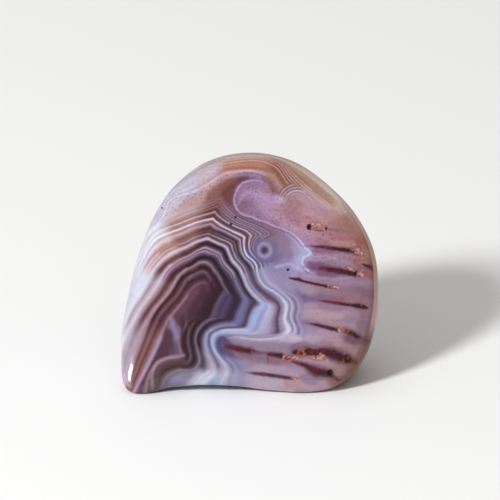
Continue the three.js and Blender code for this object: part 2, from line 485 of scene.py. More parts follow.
# %% Its middle threads
MIDDLE_THREADS = [
    # broad band, outside
    [
        (108.5, 400), (118, 345), (125.5, 316), (143.5, 283), (158, 262.5), (167.5, 253.5), (187, 245.5),
        (203.5, 237), (208, 236), (212, 238.2), (219.5, 242.2), (225.5, 244.6), (227.9, 246.4), (229.8, 250),
        (233, 257.5), (242.3, 269.3), (244.5, 274), (249, 284.7), (264, 300.7), (271, 306), (270.5, 311),
        (267, 321), (261, 331.5), (256, 333.5), (240, 333.5), (222, 334), (216.3, 337.3), (215, 343),
        (220.5, 356), (228.5, 364.5), (230.3, 371), (228.5, 377.5), (227, 381.8), (221, 400),
    ],
    # broad band, inside
    [
        (111.5, 400), (121, 345), (129.5, 316.5), (147.5, 288), (161.5, 265), (170.5, 257.4), (189, 248.5),
        (204, 241.2), (208, 240.7), (211.5, 242.3), (217.5, 245), (223, 247.5), (225, 249.4), (226.8, 253),
        (230, 260.5), (239.5, 272), (241.3, 277), (245.5, 287), (256, 300.5), (259.5, 303), (254.5, 308),
        (249.5, 317), (245.5, 327), (241, 328.3), (234, 328.5), (219, 330), (212, 334), (210.3, 341),
        (213.2, 351), (219.8, 363), (221.8, 370), (219.5, 377), (217.5, 381.5), (211.5, 400),
    ],
    # lilac band, outside
    [
        (114, 400), (124.5, 345), (137.5, 312.8), (155.5, 287), (167.5, 268.5), (175.6, 261.2), (188, 255.7),
        (201, 248.3), (205.3, 247), (209.5, 248.3), (214, 250), (217.5, 251.8), (220.3, 253.5),
        (221.8, 257), (224, 261.5), (233.3, 272.7), (235.2, 276.5), (238.5, 284), (245, 295.5),
        (248.5, 299.5), (248.3, 303.5), (245, 312), (240.5, 324), (236, 325.7), (227, 326), (215, 329.2),
        (209.3, 333), (207.7, 340), (210, 351), (215.5, 363), (216, 370.5), (211, 377), (206, 381.5),
        (194, 400),
    ],
    # lilac band, inside
    [
        (116.5, 400), (129.4, 345), (143.6, 313), (160.5, 290), (172.5, 270), (179.5, 264.3), (190.5, 259),
        (201, 252.8), (205, 252.3), (209, 253.8), (213, 255.6), (216, 257), (217.6, 258.4), (219, 261.3),
        (222.5, 267), (230, 275.5), (231.8, 279), (234.5, 286), (239, 295), (241.3, 299), (240, 303.6),
        (236, 312), (232, 320.5), (228, 321.5), (222, 322), (210.5, 327), (205, 332), (202.5, 339),
        (203.5, 350), (207, 364), (205.5, 371), (196, 376.5), (187, 380), (169, 400),
    ],
]
print("middle threads", len(MIDDLE_THREADS))

# %% Its inner threads, and the net that all twelve make
INNER_THREADS = [
    # grey band, outside
    [
        (119.5, 400), (134.5, 343), (152, 311.6), (169.5, 290), (178, 276), (183, 270.5), (191.5, 265.3),
        (200.5, 260.3), (204.5, 259.8), (208.5, 261), (210.5, 262.5), (211.7, 263.6), (212.8, 265),
        (214.5, 267.7), (217, 271.5), (221.5, 279), (222.7, 281.5), (225, 286), (229, 292.5), (232.5, 297),
        (232, 302), (228.5, 310), (225, 317.8), (221, 318.6), (213, 321), (205, 325.3), (200.3, 330.5),
        (197.5, 338.5), (199.8, 350), (201.6, 361.5), (198.5, 368), (180, 370.5), (170, 375), (159.5, 400),
    ],
    # grey band, inside
    [
        (122, 400), (143, 344), (156, 312.4), (173, 291), (181, 277.5), (185.5, 272.7), (193.5, 267.7),
        (201, 264), (204.5, 263.7), (207.5, 264.8), (209, 266), (210, 267), (211, 268.2), (212.5, 270.5),
        (215, 274.5), (219.3, 281.5), (220.5, 284), (222, 287), (223, 289.5), (223.3, 291.5),
        (220.5, 295.5), (214.5, 306.5), (210.8, 316.5), (209.5, 318), (207, 319.3), (201, 324.5),
        (197, 330), (194.7, 338.5), (196.8, 350), (198.2, 361), (194.5, 366.6), (177, 368.3),
        (167.5, 372.5), (155, 400),
    ],
    # dusky thread
    [
        (126, 400), (147.3, 343), (161, 313), (180, 291), (185.5, 281), (189.5, 276.7), (196, 273.4),
        (201.5, 271.4), (204.7, 271.3), (206.5, 272.7), (207.7, 274), (208.7, 275.2), (209.5, 276.3),
        (210.7, 278.3), (212, 281), (214, 285.5), (214.5, 287.5), (215, 290), (215, 292.5), (214.5, 295),
        (213, 298.5), (208.5, 307), (205, 314), (203.5, 315.5), (201.5, 317), (195.5, 321.5), (192, 327.5),
        (189, 338), (190.3, 350), (191.5, 358.5), (187.5, 362.8), (173, 363.5), (162.5, 368), (150.5, 400),
    ],
    # inner edge
    [
        (130, 400), (158.3, 344), (168, 321.5), (186, 298.5), (191, 290), (193.5, 287.5), (198, 284.5),
        (202, 283), (204.5, 283), (206, 284), (207, 285.5), (207.5, 287), (207.7, 288.5), (207.7, 290.5),
        (207.5, 292.5), (206.5, 296), (206, 298), (205, 300.5), (204, 303), (203, 305), (201.5, 307.5),
        (198.5, 311.5), (195.5, 315), (194.3, 316.3), (192.5, 318), (188, 322), (185.5, 327),
        (181.5, 337.5), (181.5, 349), (183.5, 355), (181, 356.8), (168, 358.3), (157, 364.3), (143.5, 400),
    ],
]
INSIDE_NET = 0.01  # squares
fort = ask_net(OUTER_THREADS + MIDDLE_THREADS + INNER_THREADS, SHEET)
print("share of the stone inside the fort", (fort[:, 2] < INSIDE_NET).mean().round(2))

# %% [markdown]
# ## The rim bands
# A second, quieter set of bands follows the crown of the stone: a pale vein, a broad orange band, a few
# fine threads outside it and the pale rim itself. They are a net of their own, drawn in the same way.

# %% Its inner lines, in squares across and down
INNER_RIM = [
    # the vein
    [
        (146, 234), (157, 224), (162.5, 217), (166.3, 207), (169, 200.5), (175, 196.6), (184, 194.2),
        (193, 191.8), (203, 187.3), (211, 182), (218, 177.5), (226, 173), (234, 171.8), (242, 171),
        (249, 170.4), (256.7, 171.3), (261, 172.5), (266, 175), (270, 178), (273.5, 182), (277, 187),
        (281, 192), (286, 196.5), (292, 200.5), (300, 206), (312, 212), (328, 220),
    ],
    # inside of the orange band
    [
        (147, 232.5), (155, 221.5), (160, 214), (163.5, 206), (167.5, 199), (175, 194), (184, 190.5),
        (193.5, 185.8), (204, 180), (212.5, 175), (220, 171), (228, 169.3), (235, 168.2), (242.5, 168),
        (250, 168), (257, 168.6), (262.5, 169.3), (268, 171.8), (273, 174.5), (277, 179), (280, 184),
        (284, 188), (289.5, 190.5), (296, 194.5), (303, 200.5), (316, 207.5), (331, 216.5),
    ],
    # outside of the orange band
    [
        (148, 230), (153, 218.5), (157, 209.5), (161.5, 203), (168, 194.5), (175, 188.5), (184, 182),
        (194, 176), (205, 170.3), (213.5, 166.4), (221, 164.3), (229, 163), (236, 161.8), (243, 160.8),
        (250, 160.2), (257.5, 160.4), (264, 161.4), (270, 163.9), (275.5, 166.8), (280, 171.6),
        (283.2, 176.4), (287, 182.3), (291.3, 186.3), (298, 189.8), (305.5, 194.5), (319, 204.5),
        (333.5, 212.5),
    ],
    # third thread
    [
        (149, 228), (152.5, 216), (156.5, 208), (162, 200.5), (168.5, 192.5), (175.5, 186), (184, 179.3),
        (194.5, 173), (205.5, 167), (214, 163.5), (222, 160.9), (229.5, 159.7), (236.5, 158.8),
        (243.5, 158.1), (250.5, 157.8), (257.5, 157.8), (265, 158.4), (271.5, 159.8), (278, 162.3),
        (283.5, 167.5), (286.8, 172.8), (291, 178.1), (296.3, 183.8), (301, 188.3), (308, 192.3),
        (321.5, 203.2), (334.5, 211.7),
    ],
]
print("inner rim lines", len(INNER_RIM), "of", len(INNER_RIM[0]), "points each")

# %% Its outer lines, and the net that all seven make
OUTER_RIM = [
    # last thread
    [
        (149.5, 227), (152.5, 215.5), (156.5, 207), (162.2, 199.7), (168.7, 191.8), (175.8, 185),
        (184, 178.3), (195, 171), (206, 165.3), (214.5, 161.7), (222.5, 159.4), (230, 158.1), (237, 157.3),
        (243.7, 156.7), (250.7, 156.4), (257.5, 156.5), (265, 157.2), (272.3, 158.6), (279.5, 160.9),
        (286.5, 165.3), (290.2, 169.4), (294.4, 174.6), (300.2, 180.3), (305, 185), (310.5, 190.5),
        (324, 201.6), (336.5, 210.5),
    ],
    # inside of the pale rim
    [
        (150, 226), (152.5, 215), (156.7, 206.5), (162.7, 199), (169, 191), (176, 184), (184, 177.3),
        (195.5, 169), (206.5, 163.5), (215, 160), (223, 158), (230.5, 156.6), (237.5, 155.7), (244, 155.1),
        (251, 154.8), (258, 155), (265.5, 156), (273, 157.4), (281, 160.1), (289, 163.8), (296, 167.5),
        (302, 171), (308, 175.5), (314, 180), (319, 184.5), (331, 194.5), (341, 203.5),
    ],
    # the crown's edge
    [
        (151, 224), (153, 213), (157.5, 205), (163.5, 197.3), (169.5, 188.8), (177, 180.5), (185, 172.5),
        (196.5, 165.8), (207.5, 160.8), (216, 157.4), (224, 155), (231, 153.5), (238, 152.6), (244.5, 152),
        (251.5, 151.6), (259, 151.8), (267, 152.6), (275, 154.6), (284, 158), (292, 162), (300, 167),
        (307, 171.8), (314, 177.2), (321, 183.3), (327, 188.8), (338, 199.5), (347, 208.5),
    ],
]
rim = ask_net(INNER_RIM + OUTER_RIM, SHEET)

# %% [markdown]
# ## Single lines, clouds and threads of ore
# The rest of the drawing is made of single things: the pale edge of the violet cloud, the dark red
# threads of iron ore that cross the right side, and soft washes of colour. Each is a line of a few
# points. What the stone needs to know is how far along it and how far beside it a point lies.


# %% Distance beside a line
def beside(line, places):
    """For each place: steps along the line, and distance from it, above zero on its left as it is drawn."""
    best = np.full(len(places), 1e9)
    along, aside = np.zeros(len(places)), np.zeros(len(places))
    for index, (start, end) in enumerate(zip(line[:-1], line[1:])):
        leg = end - start
        reach = np.linalg.norm(leg)
        offset = places - start
        share = np.clip(offset @ leg / reach**2, 0, 1)
        gap = np.linalg.norm(offset - share[:, None] * leg, axis=1)
        left = offset[:, 0] * leg[1] - offset[:, 1] * leg[0]
        nearer = gap < best
        best = np.where(nearer, gap, best)
        along = np.where(nearer, index + share, along)
        aside = np.where(nearer, np.where(left > 0, gap, -gap), aside)
    return along, aside


# %% The edge of the violet cloud, from its top round to the tip and back under the eye
CLOUD_EDGE = [
    (262, 182), (258, 180.5), (250, 180.8), (245.5, 182), (242, 184), (239, 187), (236.7, 190.7),
    (235, 195.3), (234.3, 200), (235, 204.7), (236.7, 208.7), (239.3, 212), (242.7, 214.3), (246, 215.7),
    (250, 216.3),
    (253.3, 217.3), (256.7, 219.3), (261.3, 220.7), (266, 222), (271.3, 224.7), (276, 226.7), (280.7, 227.9),
    (285, 230), (290, 232.1), (295, 235.7), (298.6, 239.3), (302.1, 243.6), (305, 247.9), (310.5, 253.4),
    (305.5, 256.2), (302.6, 259), (302, 262.5), (303.6, 266.5), (308, 270.4),
]
CLOUD_REACH = 12.0  # squares beside the edge where the finish still looks for it
EDGE_SOFTNESS = 2.0
PAST_TIP = np.array([317.0, 260.0])  # beyond the sharp tip the nearest side of the edge is in doubt
TIP_REACH = 5.0  # squares round that place where the edge is left out
cloud_along, cloud_aside = beside(smooth_line(CLOUD_EDGE, 2), SHEET)
cloud_strength = np.clip((CLOUD_REACH - np.abs(cloud_aside)) / EDGE_SOFTNESS, 0, 1)
from_tip = np.linalg.norm(SHEET - PAST_TIP, axis=1)
cloud_strength *= np.clip((from_tip - TIP_REACH) / EDGE_SOFTNESS, 0, 1)
print("points near the cloud's edge", int((cloud_strength > 0).sum()))

# %% Upper threads of iron ore: across, down, half width, and what fills them
HAZE, WINE, DARK = 0.0, 1.0, 2.0  # fillings go on to 3, which is rust, and 4, which is pale crystal
UPPER_ORE = [
    [
        (311, 226.6, 2, 3.2), (314, 226.4, 3.2, 3.8), (319, 227, 3, 4), (323, 228.2, 1.6, 3.8),
        (328, 229, 1.4, 0.2), (344, 231, 1.6, HAZE),
    ],
    [
        (303, 246, 1.2, HAZE), (314, 246.4, 1.4, 0.3), (321, 246.8, 1.6, WINE), (338, 249, 1.9, 1.7),
        (346, 250.2, 2.2, DARK), (350.5, 250.8, 2.2, 2.3), (353, 250.6, 2.6, 3.2), (357, 251, 3, 3.9),
        (362, 254, 1.6, 3.6),
    ],
    [
        (303, 266.6, 1.6, HAZE), (314, 267.6, 2, 0.4), (321, 268.2, 2.2, WINE), (328, 269, 2.6, 1.5),
        (340, 271, 2.8, 1.8), (348, 272.6, 2.6, DARK), (354.5, 274.2, 2.4, 2.3), (357, 274, 2.6, 3.3),
        (362, 275, 1.8, 3.9),
    ],
    [(345, 267.4, 0.8, 3.4), (349, 268.4, 1.5, 4), (353, 270.4, 1, 3.6)],
    [(362, 264, 0.8, WINE), (368, 266.4, 1.8, 1.5), (376, 269.6, 2, 1.8), (400, 280, 2, WINE)],
    [
        (289, 277.8, 0.7, 1.2), (294, 278.8, 1.2, 1.6), (299, 279.4, 1.7, 1.8), (304, 281.4, 1.1, 1.8),
        (320, 284.8, 1.2, DARK), (325, 285.8, 1.3, 2), (328, 286.4, 1.3, 3.5), (338, 287.6, 1.3, 4),
    ],
    [
        (302, 297, 1.4, HAZE), (318, 300, 1.4, 0.4), (328, 301.6, 1.4, WINE), (340, 303.4, 1.4, 1.6),
        (352, 305, 1.6, 1.8), (357, 305.6, 2.4, DARK), (363, 306.8, 2, 2.2), (367, 307.8, 1, 1.8),
    ],
    [
        (302, 322, 1.2, HAZE), (311, 323.4, 1.4, 0.4), (317, 324.6, 1.6, 1.3), (330, 328, 1.8, 1.9),
        (335, 329, 1.8, 2.2), (338, 329.2, 2, 3.2), (346, 330, 2.2, 3.5), (350, 332, 2.4, 2.2),
        (356, 335.8, 2, 1.8), (361, 338.4, 1.6, 0.6), (369, 341.5, 2, 0.1),
    ],
]
print("upper threads of ore", len(UPPER_ORE))

# %% Lower threads of iron ore, which run together
LOWER_ORE = [
    [
        (222, 345, 1.4, 0.5), (228, 346, 2.6, 1.2), (240, 348.6, 3, 1.5), (250, 350.6, 2.8, 1.6),
        (257, 352, 2, 0.7), (266, 353.4, 2.2, 0.8), (273, 354, 2.4, 1.4), (277, 354.6, 2.2, 2.2),
        (281, 355.4, 2.4, 2.3), (284, 356.8, 2.2, 3), (291, 358, 2.6, 3.4), (296, 357.6, 1.8, 3.6),
    ],
    [(267.4, 356, 0.8, 0.7), (268, 362, 0.8, 0.5)],
    [
        (294, 352, 2.2, 1.6), (298, 352, 3.6, 2.6), (303, 351.6, 3.8, 2.9), (307, 351, 3.8, 2.4),
        (311, 351.4, 3.8, 1.6), (317, 351.6, 3.4, 1.4), (320, 353.4, 2.4, 3.6), (323, 354.6, 2, 3.4),
    ],
    [(308, 355.6, 1.4, 3.2), (314, 356.6, 2, 3.8), (320, 357.8, 1.6, 4), (324, 359, 1, 3.6)],
    [
        (320, 350, 3, 1.3), (326, 351.6, 4.4, 1.7), (334, 354.4, 5.6, 1.8), (341, 357, 5.6, 1.7),
        (348, 359, 4.6, 2.1), (353, 361, 2.8, 1.6), (358.5, 362, 1.6, 3.2),
    ],
    [(334, 353.6, 0.8, 3), (340, 355.6, 1.4, 3.5), (345, 357, 1.6, 3.6), (344, 361, 1, 3.1)],
    [
        (291, 361, 1, 0.7), (298, 362.4, 1.8, 1.2), (305, 364.6, 2.2, 1.4), (310, 368, 3.6, 1.3),
        (317, 371.4, 4.8, 1.5), (325, 373, 4.2, 1.7), (331, 375, 2.4, 1.4), (338, 379.6, 1.4, 1),
    ],
    [
        (245, 371.4, 0.7, 0.6), (252, 372.4, 1.2, 1.2), (262, 373.4, 1.6, 1.6), (280, 376, 1.7, 1.9),
        (288, 377.2, 1.5, 1.9), (291, 377.4, 1.4, 2.8), (297, 378, 0.8, 3.3),
    ],
]
print("lower threads of ore", len(LOWER_ORE))

# %% How far beside a thread of ore each point lies
ORE_MARGIN = 5.0  # squares round a thread where the finish still looks for it
ORE_DEEPEST = 3.5  # depth behind the widest section where the threads end, in millimetres
ORE_FADE = 1.5  # millimetres over which they fade out there
FAR_AWAY = 1e9
ore_aside = np.zeros(len(SHEET))
ore_fill = np.zeros(len(SHEET))
nearest_rim = np.full(len(SHEET), FAR_AWAY)
for thread in UPPER_ORE + LOWER_ORE:
    thread = np.array(thread)
    along, aside = beside(thread[:, :2], SHEET)
    steps = np.arange(len(thread))
    half_width = np.interp(along, steps, thread[:, 2])
    past_rim = np.abs(aside) - half_width
    nearer = past_rim < nearest_rim
    nearest_rim = np.where(nearer, past_rim, nearest_rim)
    ore_aside = np.where(nearer, np.abs(aside) / half_width, ore_aside)
    ore_fill = np.where(nearer, np.interp(along, steps, thread[:, 3]), ore_fill)
near_ore = np.clip((ORE_MARGIN - nearest_rim) / EDGE_SOFTNESS, 0, 1)
ore_strength = near_ore * np.clip((ORE_DEEPEST - DEPTHS) / ORE_FADE, 0, 1)
print("points near a thread of ore", int((ore_strength > 0).sum()))

# %% [markdown]
# ## Colours
# All colours below are given as 0 to 255 levels, as a colour picker reads them off a polished stone
# in its own light. Such levels are not proportional to light, and they include the white light that
# the polish returns. So one helper takes that sheen off and turns each colour into the proportions
# of light that the finish needs.


# %% Levels to light
SHEEN = 0.016  # light that the polish returns over every colour
DEEPEST = 0.003  # no stone is blacker than this
STRENGTH = 0.72  # share of the lamps' light that a white ground would have to return
BRIGHTEST_LEVEL = 255


def light_of(red, green, blue):
    """A colour seen under the polish, as proportions of light without the polish's own sheen."""
    levels = np.array([red, green, blue]) / BRIGHTEST_LEVEL
    light = np.where(levels <= 0.04045, levels / 12.92, ((levels + 0.055) / 1.055) ** 2.4)  # the sRGB curve
    return tuple(float(c) for c in np.clip(light - SHEEN, DEEPEST, 1) * STRENGTH)


print("white is", tuple(round(c, 3) for c in light_of(255, 255, 255)))

# %% [markdown]
# ## Washes
# Between the bands, the stone's colour changes slowly, as a watercolour's does. It could be noise, but
# noise puts no colour at a chosen place. Here each wash is a colour, a half width in squares and the
# line that it is washed along, and a point of the stone takes the mean of all the washes near it.

# %% Washes under the vein and on the left shoulder
SHOULDER_WASHES = [
    # the first wash is pale partly from the stone's pale rind and partly as a painted sheen down the left
    # edge
    ((207, 207, 222), 8, [(136, 262), (147, 238), (156, 222)]),
    ((202, 192, 212), 8, [(162, 212), (170, 202), (181, 190), (196, 175)]),
    ((208, 190, 196), 7, [(158, 230), (168, 224), (176, 218)]),
    ((184, 152, 155), 7, [(180, 214), (190, 207), (198, 198)]),
    ((154, 118, 116), 6, [(192, 222), (200, 214)]),
    ((142, 94, 92), 7, [(202, 210), (210, 200), (216, 192), (222, 186)]),
    ((132, 84, 76), 5, [(226, 181), (233, 179)]),
    ((110, 66, 66), 5, [(239, 181), (244, 178)]),
    ((114, 66, 65), 6, [(226, 192), (231, 188)]),
    ((114, 73, 79), 6, [(220, 208), (229, 199)]),
    ((124, 94, 110), 6, [(230, 214), (240, 222), (250, 229)]),
]
print("shoulder washes", len(SHOULDER_WASHES))

# %% Washes of the violet cloud
CLOUD_WASHES = [
    ((140, 113, 138), 6, [(258, 230), (268, 231), (276, 236)]),
    ((128, 108, 142), 7, [(262, 242), (274, 248), (272, 258)]),
    ((148, 122, 154), 7, [(280, 238), (288, 246), (290, 254)]),
    ((166, 158, 196), 6, [(296, 247), (301, 254), (296, 262), (292, 267)]),
    ((146, 137, 174), 7, [(262, 268), (274, 272), (286, 266)]),
    ((160, 146, 178), 6, [(268, 282), (276, 288)]),
    ((160, 130, 162), 4, [(241, 188), (242, 196)]),
    ((136, 98, 124), 4, [(242, 204), (246, 207)]),
    ((150, 119, 152), 6, [(252, 205), (256, 212)]),
    ((152, 120, 152), 5, [(247, 187), (254, 186)]),
    ((178, 146, 182), 6, [(258, 195), (266, 200), (264, 208)]),
    ((180, 140, 164), 6, [(270, 209), (280, 214), (290, 222)]),
    ((146, 110, 128), 5, [(252, 178), (262, 180)]),
    ((140, 96, 102), 5, [(272, 186), (277, 188)]),
    ((167, 128, 148), 4, [(262, 187), (266, 190)]),
    ((168, 120, 122), 5, [(282, 178), (288, 184)]),
    ((194, 168, 194), 4, [(278, 199), (284, 198)]),
    ((185, 153, 177), 4, [(286, 225), (294, 229)]),
]
print("cloud washes", len(CLOUD_WASHES))

# %% Washes on the upper right
UPPER_WASHES = [
    ((184, 142, 126), 5, [(302, 184), (309, 190)]),
    ((197, 162, 152), 5, [(318, 190), (326, 196)]),
    ((199, 168, 160), 5, [(330, 202), (342, 210)]),
    ((188, 154, 165), 5, [(304, 197), (314, 203)]),
    ((170, 128, 130), 5, [(292, 203), (300, 204)]),
    ((184, 146, 160), 5, [(306, 209), (314, 212)]),
    ((178, 145, 156), 5, [(320, 208), (326, 211)]),
    ((180, 147, 145), 5, [(334, 212), (342, 215)]),
    ((173, 120, 136), 5, [(286, 213), (298, 220)]),
    ((176, 128, 138), 5, [(304, 217), (312, 219)]),
    ((182, 138, 143), 5, [(318, 218), (326, 219)]),
    ((170, 126, 116), 5, [(342, 218), (352, 223)]),
    ((168, 122, 130), 5, [(326, 227), (336, 229)]),
    ((174, 124, 118), 5, [(344, 227), (356, 234)]),
    ((162, 104, 94), 5, [(360, 238), (366, 247)]),
    ((178, 138, 160), 5, [(300, 231), (310, 236)]),
    ((172, 130, 142), 4, [(317, 235), (326, 236)]),
    ((167, 112, 122), 4, [(332, 236), (346, 238)]),
    ((166, 125, 158), 4, [(306, 241), (312, 242)]),
    ((160, 116, 126), 3, [(318, 242), (326, 243)]),
    ((178, 134, 136), 3, [(334, 243), (352, 245)]),
    ((176, 128, 124), 4, [(363, 252), (369, 257)]),
]
print("upper washes", len(UPPER_WASHES))

# %% Washes among the threads of ore
ORE_WASHES = [
    ((137, 98, 128), 3, [(314, 250), (328, 252)]),
    ((162, 134, 158), 3, [(310, 256), (324, 256), (340, 259)]),
    ((163, 126, 142), 3, [(338, 257), (352, 260)]),
    ((162, 113, 108), 4, [(358, 259), (368, 262)]),
    ((124, 88, 126), 3, [(306, 265), (318, 266)]),
    ((146, 98, 102), 4, [(362, 268), (372, 273)]),
    ((156, 134, 166), 3, [(304, 274), (312, 275)]),
    ((126, 94, 116), 3, [(320, 274), (336, 276)]),
    ((156, 128, 156), 3, [(334, 279), (348, 279), (360, 275)]),
    ((150, 122, 150), 4, [(318, 281), (336, 283)]),
    ((157, 128, 148), 4, [(344, 284), (364, 284)]),
    ((156, 138, 160), 3, [(303, 289), (312, 290)]),
    ((152, 121, 138), 4, [(318, 290), (334, 291)]),
    ((146, 113, 136), 4, [(340, 292), (356, 292)]),
    ((136, 101, 116), 4, [(360, 291), (370, 295)]),
    ((128, 104, 142), 4, [(300, 297), (312, 299)]),
    ((134, 98, 126), 3, [(318, 298), (328, 299)]),
    ((141, 99, 110), 3, [(332, 298), (342, 299)]),
    ((148, 114, 126), 4, [(350, 299), (366, 300)]),
    ((160, 137, 165), 3, [(303, 306), (312, 307)]),
    ((146, 119, 142), 4, [(320, 307), (338, 308)]),
    ((168, 144, 160), 4, [(303, 314), (314, 315)]),
    ((178, 148, 160), 4, [(320, 313), (340, 315)]),
    ((163, 133, 155), 4, [(348, 314), (356, 315)]),
    ((148, 115, 130), 4, [(362, 314), (371, 316)]),
    ((145, 119, 143), 4, [(303, 321), (314, 323)]),
    ((162, 132, 146), 4, [(324, 320), (340, 322)]),
    ((158, 134, 153), 4, [(346, 322), (354, 323)]),
    ((136, 110, 124), 4, [(360, 323), (368, 328)]),
    ((155, 137, 162), 4, [(301, 329), (314, 331)]),
    ((168, 139, 162), 4, [(318, 332), (332, 334)]),
    ((194, 173, 195), 4, [(286, 336), (298, 338)]),
    ((172, 148, 168), 4, [(304, 339), (318, 340)]),
    ((171, 141, 152), 4, [(326, 340), (340, 343)]),
    ((112, 82, 98), 4, [(347, 340), (362, 342)]),
    ((140, 112, 124), 4, [(366, 334), (372, 326)]),
]
print("ore washes", len(ORE_WASHES))

# %% Washes along the bottom
FOOT_WASHES = [
    ((150, 130, 154), 5, [(256, 347), (284, 347)]),
    ((134, 108, 130), 3.5, [(290, 346), (308, 345)]),
    ((150, 118, 136), 4, [(318, 345), (332, 345)]),
    ((156, 124, 132), 5, [(344, 346), (358, 349)]),
    ((152, 122, 118), 5, [(360, 356), (365, 351)]),
    ((160, 134, 158), 4, [(246, 358), (258, 361)]),
    ((156, 124, 142), 4, [(268, 361), (288, 363)]),
    ((172, 144, 160), 3, [(314, 361), (326, 362)]),
    ((180, 154, 178), 5, [(258, 367), (276, 369), (298, 370)]),
    ((156, 124, 124), 4, [(334, 369), (344, 370)]),
    ((146, 108, 98), 5, [(348, 369), (356, 367)]),
    ((182, 162, 182), 6, [(246, 384), (266, 386), (278, 384)]),
    ((176, 142, 152), 5, [(284, 381), (300, 383)]),
    ((140, 116, 144), 4, [(302, 378), (314, 381)]),
    ((166, 140, 152), 5, [(300, 388), (320, 388)]),
    ((132, 96, 80), 4, [(340, 380), (352, 377)]),
]
print("foot washes", len(FOOT_WASHES))

# %% Washes inside the fort
FORT_WASHES = [
    ((104, 72, 84), 8, [(190, 292), (182, 306)]),
    ((76, 50, 62), 9, [(206, 296), (202, 310), (196, 314)]),
    ((92, 62, 74), 6, [(178, 318), (184, 312)]),
    ((132, 110, 140), 4, [(170, 322), (174, 330), (178, 340)]),
    ((84, 54, 70), 5, [(168, 334), (164, 346), (162, 354)]),
    ((100, 76, 100), 5, [(175, 346), (176, 354)]),
]
WASHES = SHOULDER_WASHES + CLOUD_WASHES + UPPER_WASHES + ORE_WASHES + FOOT_WASHES + FORT_WASHES
print("fort washes", len(FORT_WASHES))

# %% Mix the washes, along lines that the quartz's growth has pushed about
WASH_FLOOR = 1e-9  # keeps a point that no wash reaches from a division by nothing
WASH_SWAY = np.array([5.0, 2.4])  # squares by which the growth clouds push the washes about
SWAY_SCALE = 0.45  # clouds to a millimetre
FINE_SWAY_SCALE = 1.3
FINE_SWAY_SHIFT = Vector((9, 4, 2))
FINE_SWAY_SHARE = 0.5
noise.seed_set(7)
swayed = np.array([noise.noise_vector(Vector(p) * SWAY_SCALE)[:2] for p in POINTS.tolist()])
fine_sway = np.array(
    [noise.noise_vector(Vector(p) * FINE_SWAY_SCALE + FINE_SWAY_SHIFT)[:2] for p in POINTS.tolist()]
)
SWAYED_SHEET = SHEET + (swayed + FINE_SWAY_SHARE * fine_sway) * WASH_SWAY
wash = np.zeros((len(SHEET), 3))
wash_weight = np.full(len(SHEET), WASH_FLOOR)
for colour, half_width, line in WASHES:
    _, aside = beside(np.array(line, float), SWAYED_SHEET)
    weight = (1 + (aside / half_width) ** 2) ** -3
    wash += weight[:, None] * np.array(light_of(*colour))
    wash_weight += weight
wash /= wash_weight[:, None]
print("washes", len(WASHES), "mean light", wash.mean(0).round(3))

# %% [markdown]
# ## Strokes
# Small single marks are laid over the bands like brush strokes: the wisps in the violet cloud, the
# facets at the foot and pale growth lines. The last two are painted light: a painted reflection of the
# pale table along the bottom edge and a painted sheen down the lower left edge. Each has a colour, a
# half width, how much it covers and a line. Colours are kept already weighted by cover, so that they
# fade without dark edges.

